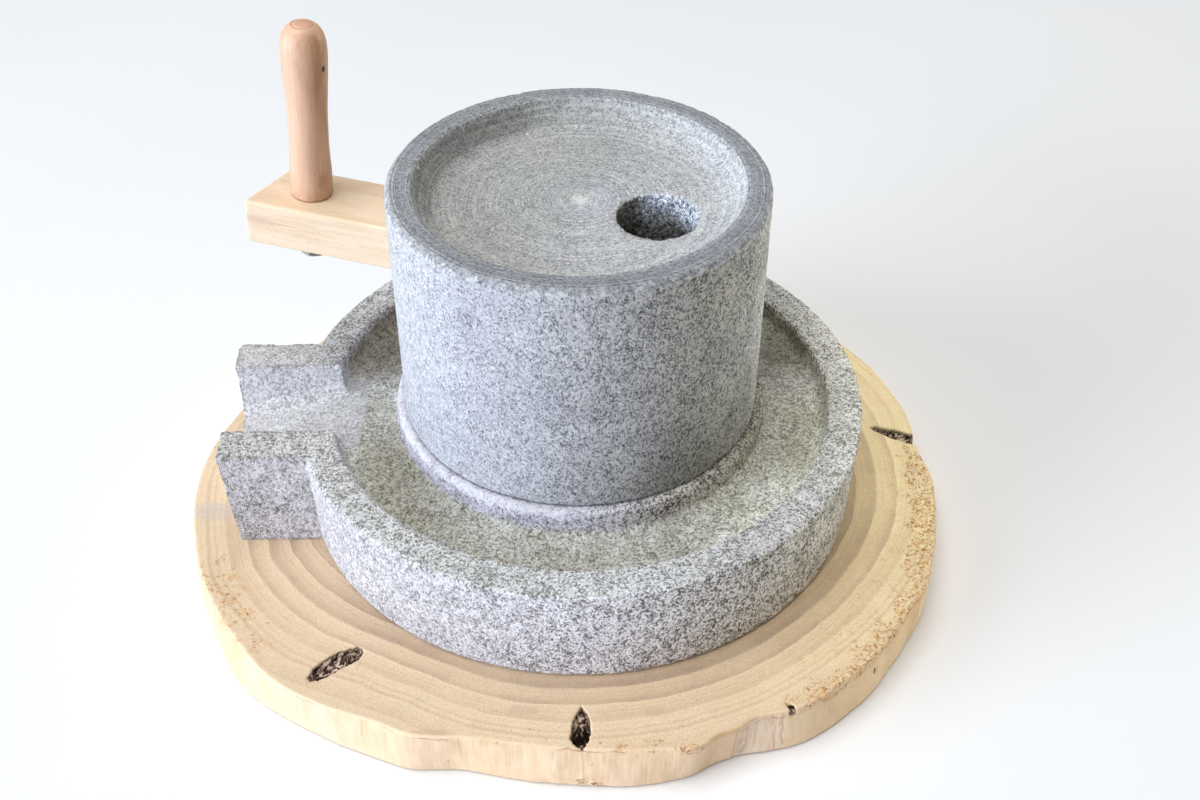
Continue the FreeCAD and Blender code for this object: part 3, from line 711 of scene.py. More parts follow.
    # stone dust in the dimple at the centre, with a bluish ring about it
    spot = m.span(m.math("ADD", rad, m.math("MULTIPLY", m.noise(raw, 1.6, 3.0, 0.7), 6.0)), 8.2, 4.4)
    spot = m.math("MULTIPLY", spot, dish)
    col = m.blend(m.math("MULTIPLY", spot, 0.66), col, (0.82, 0.82, 0.80))
    halo = m.math("MULTIPLY", m.math("MULTIPLY", m.span(rad, 6.0, 8.5), m.span(rad, 17.0, 12.0)), dish)
    col = m.blend(m.math("MULTIPLY", halo, 0.32), col, (0.42, 0.445, 0.52))
    # rim: darker, bluish, with fine circles
    rimring = m.noise(None, 0.75, 2.0, 0.6, kind="1D", w=m.math("ADD", rad, m.math("MULTIPLY", m.noise(raw, 30.0, 1.0), 1.0)))
    rimtone = m.ramp(rimring, [(0.34, (0.50, 0.52, 0.57)), (0.50, (0.70, 0.72, 0.76)), (0.68, (0.98, 0.99, 1.02))])
    col = m.blend(rim, col, m.blend(1.0, m.blend(0.35, col, (0.47, 0.475, 0.485)), rimtone, "MULTIPLY"))
    col = m.blend(m.math("MULTIPLY", rim, m.span(ax[1], 0.0, -60.0)), col, m.blend(1.0, col, (0.88, 0.875, 0.875), "MULTIPLY"))
    # a few cream crystals
    where = m.cells(raw, 7.5, out="Distance")
    speck = m.math("MULTIPLY", m.span(m.math("ADD", where, m.math("MULTIPLY", m.noise(raw, 0.9, 2.0), 0.12)), 0.20, 0.12), m.span(m.split(m.cells(raw, 7.5))[2], 0.72, 0.76))
    col = m.blend(m.math("MULTIPLY", speck, 0.7), col, (0.80, 0.75, 0.64))
    # a dark line just above the joint with the lower stone: painted shade of the gap, with some grime
    joint_grime_and_shade = m.math("MULTIPLY", m.span(m.math("ADD", ax[2], m.math("MULTIPLY", m.math("SUBTRACT", m.noise(raw, 4.0, 3.0), 0.5), 1.6)), RUN_FOOT + 1.35, RUN_FOOT + 0.35), 0.72)
    col = m.blend(joint_grime_and_shade, col, (0.10, 0.10, 0.105))
    # the chiselled hole: painted light makes the wall facing the window pale and bluish, painted shade makes the other
    # wall dark
    rough_hole = m.ramp(m.noise(raw, 1.7, 3.0, 0.7), [(0.36, (0.30, 0.30, 0.28)), (0.50, (0.85, 0.85, 0.84)), (0.64, (1.45, 1.46, 1.50))])
    stone_in = m.blend(1.0, col, rough_hole, "MULTIPLY")
    lit_wall = m.span(m.math("ADD", inner, m.math("MULTIPLY", m.math("SUBTRACT", m.noise(raw, 5.0, 3.0), 0.5), 0.9)), 0.15, -0.45)
    stone_in = m.blend(lit_wall, m.blend(1.0, stone_in, (0.40, 0.385, 0.33), "MULTIPLY"), m.blend(1.0, stone_in, (1.55, 1.62, 1.80), "MULTIPLY"))
    # painted shade darkens the hole further down
    hole_depth_shade = m.span(ax[2], RUN_TOP - 26.0, RUN_TOP - 15.0)
    stone_in = m.blend(hole_depth_shade, m.blend(1.0, stone_in, (0.35, 0.33, 0.29), "MULTIPLY"), stone_in)
    col = m.blend(hole, col, stone_in)
    # pale nicks along the drum's upper arris
    arris = m.math("MULTIPLY", m.math("MULTIPLY", m.span(rad, 75.2, 76.4), m.span(ax[2], RUN_TOP - 3.6, RUN_TOP - 2.0)), m.span(m.noise(raw, 2.4, 3.0, 0.65), 0.50, 0.60))
    col = m.blend(m.math("MULTIPLY", arris, 0.65), col, (0.70, 0.70, 0.69))
    # paler along the edges: fresh stone on chips, and a painted highlight
    col = m.blend(m.math("MULTIPLY", edge, m.span(m.noise(raw, 2.2, 2.0), 0.45, 0.65, 0.0, 0.45)), col, (0.66, 0.67, 0.68))
    n = m.bump(weigh(m, [(soft, 1.2), (tiny[0], 0.35)]), 0.16, 0.85)
    n = m.bump(clump, 0.20, 0.6, n)
    n = m.bump(m.math("ADD", m.math("MULTIPLY", dish, rings), m.math("MULTIPLY", rim, rimring)), 0.28, 0.8, n)
    n = m.bump(m.math("MULTIPLY", hole, m.noise(raw, 2.2, 3.0, 0.6)), 1.1, 1.0, n)
    return m.finish(col, m.span(tiny[1], 0.0, 1.0, 0.62, 0.86, False), n, 0.30)


def granite_bed():
    m = Paint("granite_bed")
    raw = m.coords()
    mm = m.coords((1, 1, 0.74))
    tiny, tiny2, soft, clump = granite(m, mm, 0.72)
    trough, boss, face, edge, flat = m.field("trough"), m.field("boss"), m.field("face"), m.field("edge"), m.field("flat")
    facing_key, chute, cheek = m.field("pale"), m.field("chute"), m.field("cheek")
    ax = m.xyz(raw)
    across = m.math("MULTIPLY", m.math("ADD", m.math("DIVIDE", ax[0], 125.0), 1.0), 0.5)
    top = m.math("ADD", m.math("ADD", flat, trough), m.math("ADD", chute, cheek), clamp=True)
    # painted light: the speckle is fainter on the sides facing the window, as if washed out by light, and stronger
    # away from it
    gain = m.math("ADD", m.math("MULTIPLY", m.span(facing_key, -0.1, 0.95, 1.58, 0.67), m.math("SUBTRACT", 1.0, top)), m.math("MULTIPLY", top, 1.16))
    slow = m.noise(raw, 13.0, 2.0, 0.6)
    v = weigh(m, [(tiny[0], 0.66), (tiny2[1], 0.50), (soft, 1.15), (clump, 0.66), (slow, 0.38)], gain)
    col = m.ramp(v, [(0.06, (0.105, 0.10, 0.095)), (0.22, (0.225, 0.22, 0.21)), (0.36, (0.375, 0.37, 0.36)), (0.50, (0.52, 0.515, 0.515)), (0.64, (0.655, 0.652, 0.662)), (0.88, (0.795, 0.795, 0.815))])
    # clusters of dark mica
    at = m.cells(warped(m, mm, 2.2, 3.6), 10.5, out="Distance")
    dark = m.math("MULTIPLY", m.span(at, 0.27, 0.14), m.span(m.split(m.cells(mm, 10.5))[1], 0.35, 0.5))
    dark = m.math("MULTIPLY", dark, m.span(tiny[0], 0.10, 0.70, 1.0, 0.30))
    col = m.blend(m.math("MULTIPLY", dark, 0.68), col, (0.16, 0.15, 0.145))
    drift = m.noise(raw, 60.0, 2.0, 0.5)
    col = m.blend(0.8, col, m.ramp(drift, [(0.34, (0.90, 0.90, 0.90)), (0.50, (1.0, 1.0, 1.0)), (0.66, (1.05, 1.05, 1.05))]), "MULTIPLY")
    # dressed sides: faintly lilac, drab brown towards the right; painted light makes the front paler and the far right
    # edge brighter
    tint = m.ramp(across, [(0.0, (0.98, 0.95, 1.0)), (0.24, (0.98, 0.95, 1.0)), (0.40, (1.14, 1.10, 1.17)), (0.55, (1.18, 1.15, 1.20)), (0.70, (1.13, 1.10, 1.08)), (0.86, (1.03, 1.01, 0.89)), (1.0, (1.14, 1.12, 1.0))])
    col = m.blend(m.math("SUBTRACT", 1.0, top), col, m.blend(1.0, col, tint, "MULTIPLY"))
    # the rim's top is rubbed a little smoother and greener than the dressed sides; painted light makes it bluer and
    # paler to the front and much brighter at the far right
    rubbed_and_lit = m.blend(0.15, col, (0.50, 0.505, 0.485))
    rubbed_and_lit = m.blend(1.0, rubbed_and_lit, (0.99, 1.0, 0.965), "MULTIPLY")
    rubbed_and_lit = m.blend(1.0, rubbed_and_lit, m.ramp(across, [(0.0, (0.95, 0.93, 0.94)), (0.28, (0.96, 0.95, 0.96)), (0.5, (1.06, 1.06, 1.10)), (0.8, (0.94, 0.92, 0.95)), (0.90, (0.98, 0.97, 0.95)), (1.0, (1.52, 1.50, 1.42))]), "MULTIPLY")
    col = m.blend(m.math("MULTIPLY", flat, 0.95), col, rubbed_and_lit)
    # trough: rubbed smoother, a little olive with old leaf dust
    stain = m.ramp(weigh(m, [(m.noise(raw, 22.0, 3.0, 0.6), 0.9), (clump, 0.30)]), [(0.30, (0.425, 0.415, 0.345)), (0.50, (0.525, 0.515, 0.46)), (0.70, (0.60, 0.60, 0.565))])
    fine = m.ramp(weigh(m, [(tiny[0], 0.50), (tiny2[1], 0.38), (soft, 1.15), (clump, 0.38)]), [(0.16, (0.36, 0.35, 0.33)), (0.50, (1.0, 1.0, 1.0)), (0.84, (1.50, 1.51, 1.53))])
    floor = m.blend(1.0, stain, fine, "MULTIPLY")
    # darker and olive towards the front-left: leaf dust, and painted shadow of the rim
    olive = m.math("MULTIPLY", m.span(ax[0], -28.0, -74.0), m.span(m.math("ADD", ax[1], m.math("MULTIPLY", m.math("SUBTRACT", m.noise(raw, 14.0, 2.0), 0.5), 20.0)), -18.0, -38.0))
    floor = m.blend(olive, floor, m.blend(1.0, floor, (0.76, 0.755, 0.69), "MULTIPLY"))
    # painted shade in the back-left of the trough, under the rim and the far block
    behind = m.math("MULTIPLY", m.span(ax[0], -52.0, -84.0), m.span(m.math("ADD", ax[1], m.math("MULTIPLY", m.math("SUBTRACT", m.noise(raw, 12.0, 2.0), 0.5), 16.0)), 16.0, 34.0))
    floor = m.blend(behind, floor, m.blend(1.0, floor, (0.66, 0.61, 0.56), "MULTIPLY"))
    floor = m.blend(1.0, floor, (0.95, 0.95, 0.955), "MULTIPLY")
    # painted shadow of the runner on the trough's right-back
    hidden = m.math("MULTIPLY", m.span(ax[0], 60.0, 100.0), m.span(ax[1], 14.0, 34.0))
    floor = m.blend(hidden, floor, m.blend(1.0, floor, (0.50, 0.49, 0.40), "MULTIPLY"))
    # painted light on the trough towards the right
    trough_painted_light = m.math("MULTIPLY", m.span(ax[0], 24.0, 78.0), m.span(ax[1], 22.0, -6.0))
    floor = m.blend(trough_painted_light, floor, m.blend(1.0, floor, (1.24, 1.24, 1.16), "MULTIPLY"))
    col = m.blend(m.math("MULTIPLY", trough, 0.94), col, floor)
    # the spout's channel is polished pale by the tea that runs over it, its cheeks stay bluish
    swept = m.blend(1.0, m.blend(0.35, (0.60, 0.60, 0.59), m.ramp(m.noise(raw, 16.0, 3.0, 0.6), [(0.38, (0.56, 0.55, 0.51)), (0.62, (0.66, 0.665, 0.66))])), fine, "MULTIPLY")
    col = m.blend(m.math("MULTIPLY", chute, 0.92), col, m.blend(1.0, m.blend(0.38, swept, (0.61, 0.60, 0.585)), (0.86, 0.845, 0.87), "MULTIPLY"))
    wall = m.blend(1.0, m.blend(0.50, col, (0.55, 0.545, 0.56)), (1.0, 0.985, 1.02), "MULTIPLY")
    col = m.blend(m.math("MULTIPLY", cheek, 0.90), col, wall)
    # the far block's top is rubbed paler, and a dark chipped line follows the blocks' edges
    out_here = m.span(ax[0], -112.0, -122.0)
    far_top = m.math("MULTIPLY", m.math("MULTIPLY", flat, out_here), m.span(ax[1], 6.0, 14.0))
    col = m.blend(m.math("MULTIPLY", far_top, 0.9), col, m.blend(1.0, m.blend(0.30, col, (0.52, 0.515, 0.51)), (1.20, 1.19, 1.20), "MULTIPLY"))
    chipped = m.math("MULTIPLY", m.math("MULTIPLY", edge, out_here), m.span(m.noise(raw, 2.0, 3.0, 0.65), 0.44, 0.56))
    col = m.blend(m.math("MULTIPLY", chipped, 0.55), col, (0.15, 0.14, 0.13))
    # boss: painted light makes it bluish and pale to the left with a painted highlight on its arris, painted shade
    # makes it drab towards the right
    boss_painted_light = m.ramp(across, [(0.18, (1.04, 1.02, 1.11)), (0.50, (0.88, 0.875, 0.925)), (0.66, (0.82, 0.79, 0.72)), (0.85, (0.84, 0.82, 0.70))])
    col = m.blend(boss, col, m.blend(1.0, col, boss_painted_light, "MULTIPLY"))
    # painted highlight on the boss's arris to the left
    arris = m.math("MULTIPLY", m.math("MULTIPLY", m.span(ax[2], BED_BOSS - 3.4, BED_BOSS - 1.6), boss), m.span(across, 0.62, 0.45))
    col = m.blend(m.math("MULTIPLY", arris, m.span(m.noise(raw, 5.0, 3.0, 0.6), 0.36, 0.60, 0.15, 0.75)), col, (0.74, 0.74, 0.77))
    col = m.blend(m.math("MULTIPLY", face, 0.8), col, m.blend(1.0, col, (0.80, 0.82, 0.78), "MULTIPLY"))
    n = m.bump(weigh(m, [(soft, 1.3), (tiny[0], 0.5)]), 0.15, 0.9)
    n = m.bump(m.math("MULTIPLY", clump, m.span(top, 0.0, 1.0, 1.0, 0.5)), 0.28, 0.8, n)
    return m.finish(col, m.span(tiny[1], 0.0, 1.0, 0.66, 0.9, False), n, 0.28)


# ============================================================= wood slice
BOARD_TOP = 24.0
# pockets left by bark in the slice, each a closed outline on its top face
POCKET_A = [(-110.8, -122.4), (-108.9, -117.6), (-105.4, -113.6), (-101.0, -110.2), (-97.0, -108.6), (-93.2, -107.2), (-90.4, -108.0),
            (-89.7, -110.6), (-91.4, -113.6), (-94.9, -116.2), (-98.4, -118.6), (-102.2, -121.6), (-106.2, -123.4), (-109.4, -124.2)]
POCKET_B = [(-0.7, -138.4), (0.9, -140.2), (2.2, -142.6), (2.9, -146.6), (2.8, -150.2), (2.2, -153.2), (1.2, -155.4), (-0.5, -158.6),
            (-2.2, -156.9), (-4.3, -155.4), (-5.0, -152.6), (-4.6, -149.0), (-4.3, -145.2), (-2.8, -141.2)]
POCKET_C = [(140.4, 25.9), (144.4, 26.4), (149.2, 25.1), (154.8, 23.0), (159.4, 20.9), (163.8, 18.6), (168.5, 16.2), (168.0, 9.4),
            (161.6, 12.2), (156.6, 14.4), (151.2, 17.0), (146.4, 20.2), (142.6, 23.6)]
POCKET_D = [(80.7, -138.0), (82.4, -138.1), (83.9, -140.4), (85.2, -143.4), (86.4, -148.0), (83.9, -148.8), (82.9, -144.6), (81.4, -141.0)]
POCKET_E = [(38.0, 146.0), (41.4, 145.0), (45.2, 149.6), (47.9, 155.2), (47.0, 159.2), (43.6, 157.6), (40.4, 152.6)]


def inside_distance(x, y, loop):
    """Signed distance to a closed outline: positive inside."""
    d = np.full(len(x), 1e9)
    inside = np.zeros(len(x), bool)
    n = len(loop)
    for k in range(n):
        x0, y0 = loop[k]
        x1, y1 = loop[(k + 1) % n]
        dx, dy = x1 - x0, y1 - y0
        t = np.clip(((x - x0) * dx + (y - y0) * dy) / (dx * dx + dy * dy), 0, 1)
        d = np.minimum(d, np.hypot(x - x0 - t * dx, y - y0 - t * dy))
        cross = ((y0 > y) != (y1 > y))
        with np.errstate(divide="ignore", invalid="ignore"):
            xi = x0 + (y - y0) * dx / (dy if dy else 1e-9)
        inside ^= cross & (x < xi)
    return np.where(inside, d, -d)


def level_radius(node, z, tol):
    """Radius of a node's outline at one height, as a function table of angle."""
    p = get_points(NODES[node].data)
    hit = np.abs(p[:, 2] - z) < tol
    q = p[hit]
    r = np.hypot(q[:, 0], q[:, 1])
    a = np.degrees(np.arctan2(q[:, 1], q[:, 0])) % 360
    big = r > 120
    a, r = a[big], r[big]
    order = np.argsort(a)
    a, r = a[order], r[order]
    bins = np.arange(0, 361, 1.0)
    # keep the outermost point near each angle
    ar, rr = [], []
    for k in range(0, 720):
        lo, hi = k * 0.5, k * 0.5 + 0.5
        m = (a >= lo) & (a < hi)
        if m.any():
            j = np.argmax(r[m])
            ar.append(a[m][j])
            rr.append(r[m][j])
    ar, rr = np.array(ar), np.array(rr)
    return np.concatenate([ar[-3:] - 360, ar, ar[:3] + 360]), np.concatenate([rr[-3:], rr, rr[:3]])


# a growth ring that shows plainly on the slice, as radius by angle, and the ring spacing there
RING_AZ = [0, 20, 60, 90, 120, 150, 180, 203, 211, 217.5, 223, 229, 234.5, 243, 257, 270, 283, 296, 303, 312, 318, 330, 345, 360]
RING_R = [139.0, 140.0, 136.0, 134.0, 134.0, 138.0, 146.0, 147.0, 143.0, 140.0, 137.0, 133.2, 130.2, 128.2, 129.6, 130.0, 130.0, 129.9, 130.2, 131.0, 131.8, 134.0, 137.5, 139.0]
RING_GAP = [9.0, 9.0, 8.5, 8.5, 8.5, 8.5, 9.0, 9.2, 9.4, 9.4, 9.2, 8.8, 8.4, 8.0, 8.0, 8.0, 8.0, 8.0, 8.0, 8.0, 8.0, 8.4, 9.0, 9.0]


def make_board():
    # angles, closer together round the pockets
    dens = np.full(3600, 1.0)
    th = np.arange(3600) * 0.1
    for mid, wide, more in ((229.0, 5.5, 1.5), (269.8, 3.6, 2.6), (7.5, 5.0, 1.6), (300.0, 2.2, 2.2), (289.0, 4.0, 0.8), (75.0, 4.0, 1.0), (222.0, 3.0, 1.0)):
        gap = np.abs((th - mid + 180) % 360 - 180)
        dens += more * np.exp(-(gap / wide) ** 2)
    cum = np.concatenate([[0], np.cumsum(dens)])
    count = 1040
    angles = np.interp(np.arange(count) / count * cum[-1], cum, np.arange(3601) * 0.1)
    levels = {}
    for z, tol in ((0.0, 0.05), (1.6, 0.1), (12.0, 0.3), (22.4, 0.1), (24.0, 0.05)):
        levels[z] = np.interp(angles, *level_radius("base_board", z, tol))
    ar = np.radians(angles)
    cs, sn = np.cos(ar), np.sin(ar)
    rim = np.maximum.reduce(list(levels.values()))

    # rows: top from the middle outwards, then down the side, then the underside inwards
    rows, kind = [], []
    top_t = np.concatenate([np.array([0.0, 0.35, 0.62]), np.linspace(0.665, 1.0, 62)])
    for t in top_t:
        r = levels[24.0] * t
        rows.append(np.stack([r * cs, r * sn, np.full(count, 24.0)], 1))
        kind.append(0)
    zs = [23.7, 23.2, 22.5, 21.6, 20.4, 19.1, 17.8, 16.5, 15.2, 13.9, 12.6, 11.3, 10.0, 8.7, 7.4, 6.1, 4.8, 3.6, 2.5, 1.6, 0.8, 0.25]
    zk = np.array([0.0, 1.6, 12.0, 22.4, 24.0])
    rk = np.stack([levels[z] for z in zk])
    for z in zs:
        j = min(np.searchsorted(zk, z), 4)
        t = (z - zk[j - 1]) / (zk[j] - zk[j - 1])
        if z > 22.4:
            t2 = (z - 22.4) / 1.6
            bow = math.sqrt(max(0.0, 1 - t2 * t2))
            r = rk[4] + (rk[3] - rk[4]) * bow
        elif z < 1.6:
            t2 = 1 - z / 1.6
            r = rk[0] + (rk[1] - rk[0]) * math.sqrt(max(0.0, 1 - t2 * t2))
        else:
            r = rk[j - 1] + (rk[j] - rk[j - 1]) * t
        rows.append(np.stack([r * cs, r * sn, np.full(count, z)], 1))
        kind.append(1)
    for t in (1.0, 0.97, 0.8, 0.4, 0.0):
        r = levels[0.0] * t
        rows.append(np.stack([r * cs, r * sn, np.zeros(count)], 1))
        kind.append(2)
    nrow = len(rows)
    p = np.concatenate(rows)
    kind = np.repeat(np.array(kind), count)
    # outward direction of the outline at each angle
    rx, ry = rim * cs, rim * sn
    tx = np.roll(rx, -1) - np.roll(rx, 1)
    ty = np.roll(ry, -1) - np.roll(ry, 1)
    ln = np.hypot(tx, ty)
    ox, oy = np.tile(ty / ln, nrow), np.tile(-tx / ln, nrow)
    r = np.hypot(p[:, 0], p[:, 1])
    rimr = np.tile(rim, nrow)
    inward = np.maximum(rimr - r, 0.0)
    z = p[:, 2].copy()

    top, side = kind == 0, kind == 1
    # the side: long soft ridges up and down, as under peeled bark
    along = np.stack([p[:, 0], p[:, 1], z * 0.22], 1)
    ridge = 0.42 * noise(along, 11.0, 81) + 0.22 * noise(along * [1, 1, 1.6], 4.2, 82) + 0.10 * noise(along, 2.2, 83)
    scar = -0.7 * smooth(0.5, 0.85, noise(np.stack([p[:, 0], p[:, 1], z * 0.5], 1), 13.0, 84))
    belly = smooth(0.0, 3.0, z) * smooth(24.0, 21.0, z)
    push = (ridge + scar) * (0.25 + 0.75 * belly) - 0.35
    # a step where a strip has flaked off, right of the front
    deg = np.degrees(np.arctan2(p[:, 1], p[:, 0])) % 360
    flake = smooth(291.9, 292.4, deg) * smooth(300.2, 298.6, deg) * smooth(23.2, 21.6, z + 0.9 * noise(p, 4.0, 86))
    push = np.where((deg > 284) & (deg < 304), push * 0.45 - 0.1, push)
    push -= 0.5 * flake
    # a borer's hole in the side, right of the front
    arc = np.radians((deg - 316.6 + 180) % 360 - 180) * 166.0
    borer = np.exp(-((arc - 0.12 * (z - 13.6)) / 0.85) ** 2 - ((z - 13.6) / 1.9) ** 2)
    push -= 1.8 * borer
    push -= 0.8 * smooth(262.5, 264.5, deg) * smooth(275.0, 272.5, deg) * smooth(5.5, 2.0, z) * (0.4 + 1.2 * np.clip(noise(p, 4.0, 85), 0, 1))
    p[side, 0] += (ox * push)[side]
    p[side, 1] += (oy * push)[side]
    near = top & (inward < 2.2)
    fall = smooth(2.2, 0.4, inward)
    p[near, 0] += (ox * push * fall)[near]
    p[near, 1] += (oy * push * fall)[near]
    foot = (kind == 2) & (inward < 12)
    p[foot, 0] += (ox * push)[foot] * 0.8
    p[foot, 1] += (oy * push)[foot] * 0.8

    # the top: sawn and sanded, so almost flat, with shallow pits near the right-hand edge
    h = 0.05 * noise(p, 30.0, 91) + 0.03 * noise(p, 9.0, 92)
    turn = np.where(deg < 30, deg + 360, deg)
    band = smooth(298.0, 305.0, turn) * smooth(369.0, 354.0, turn)
    wide = 6.0 + 4.5 * smooth(325.0, 345.0, turn)
    band *= 0.18 * smooth(30.0, 20.0, inward) + 0.82 * smooth(wide + 5.0, wide - 1.5, inward + 2.4 * noise(p, 9.0, 97))
    left = smooth(196.0, 202.0, deg) * smooth(226.0, 214.0, deg) * smooth(24.0, 12.0, inward) * 0.32
    front = smooth(271.5, 273.0, deg) * smooth(290.0, 284.0, deg) * smooth(9.0, 2.5, inward) * 0.42
    decay = np.clip(band + left + front, 0, 1)
    pit = smooth(0.15, 0.7, noise(p * [1, 1, 1], 2.1, 93)) * smooth(-0.4, 0.5, noise(p, 9.0, 94))
    h -= 0.34 * pit * decay
    p[top, 2] += (h * smooth(118.0, 124.0, r))[top]

    # pockets of bark
    x0, y0 = p[:, 0].copy(), p[:, 1].copy()
    wob = 0.55 * noise(p, 2.6, 95) + 0.3 * noise(p, 1.5, 96)
    bark = np.zeros(len(p))
    for loop, depth, floor_seed, amp in ((POCKET_A, 2.6, 101, 1.3), (POCKET_B, 9.0, 102, 3.2), (POCKET_C, 6.5, 103, 2.0), (POCKET_D, 9.5, 104, 0.5), (POCKET_E, 4.0, 105, 1.2)):
        d = inside_distance(x0, y0, loop) + wob * 0.8
        m = smooth(-0.25, 0.65, d)
        fl = depth + amp * noise(np.stack([x0, y0, 0 * x0], 1), 3.0, floor_seed) + 0.6 * amp * noise(np.stack([x0, y0, 0 * x0], 1), 1.5, floor_seed + 9)
        if loop is POCKET_B:
            fl *= 0.35 + 0.65 * smooth(-144.0, -150.0, y0)
        if loop is POCKET_C:
            fl *= 1.0 - 0.45 * smooth(148.0, 158.0, x0)
        sink = m * np.maximum(fl, 0.5)
        p[top, 2] -= sink[top]
        reach = 5.0 if loop is POCKET_C else 4.6 if loop is POCKET_D else 1.7
        lower = side & (z > 24 - reach) & (m > 0.02)
        fade = smooth(24.0 - reach, 24.0 - reach * 0.45, z)
        p[lower, 0] -= (ox * m * fade * 1.6)[lower]
        p[lower, 1] -= (oy * m * fade * 1.6)[lower]
        bark = np.maximum(bark, np.where(top, smooth(-0.15, 0.35, d), np.where(lower, smooth(-0.15, 0.35, d) * fade, 0.0)))
    # a thin split beside the left-hand edge
    split = [(-134.6, -114.2), (-132.4, -117.2), (-130.2, -120.6), (-128.6, -122.0), (-129.4, -120.0), (-131.6, -116.6), (-133.8, -113.8)]
    d = inside_distance(x0, y0, split) + 0.2
    m = smooth(-0.2, 0.4, d)
    p[top, 2] -= (1.6 * m)[top]
    crack = np.where(top, m, 0.0)

    quads = []
    idx = np.arange(count)
    nxt = np.roll(idx, -1)
    for k in range(nrow - 1):
        a, b = k * count, (k + 1) * count
        if k == 0:
            continue
        if k == nrow - 2:
            continue
        quads.append(np.stack([a + idx, b + idx, b + nxt, a + nxt], 1))
    faces = [tuple(f) for f in np.concatenate(quads)]
    # middle of the top and of the underside close with triangles on one point each
    c_top, c_low = len(p), len(p) + 1
    p = np.concatenate([p, [[0, 0, 24.0]], [[0, 0, 0.0]]])
    a, b = 1 * count, (nrow - 2) * count
    for k in range(count):
        faces.append((c_top, a + k, a + (k + 1) % count))
        faces.append((c_low, b + (k + 1) % count, b + k))
    used = np.zeros(len(p), bool)
    for f in faces[:]:
        pass
    used[np.concatenate([np.array(f) for f in faces])] = True
    remap = np.cumsum(used) - 1
    faces = [tuple(int(remap[i]) for i in f) for f in faces]

    def both(v, a, b):
        return np.concatenate([v, [a, b]])[used]

    me = grid_mesh("wood_slice", p[used], faces)
    ob = new_object("wood_slice", me)
    base = np.interp(deg, RING_AZ, RING_R)
    gap = np.interp(deg, RING_AZ, RING_GAP)
    ring = (r - base) * 8.0 / gap
    add_field(me, "ring", both(ring, -130.0, -130.0))
    add_field(me, "turn", both(deg, 0.0, 0.0))
    add_field(me, "inward", both(inward, 165.0, 165.0))
    add_field(me, "bark", both(bark, 0, 0))
    add_field(me, "crack", both(crack, 0, 0))
    add_field(me, "decay", both(np.where(top | (side & (z > 20)), decay, 0), 0, 0))
    add_field(me, "flake", both(np.where(side, flake, 0), 0, 0))
    add_field(me, "borer", both(np.where(side, borer, 0), 0, 0))
    add_field(me, "side", both(np.where(side, 1.0, 0.0), 0, 0))
    return ob


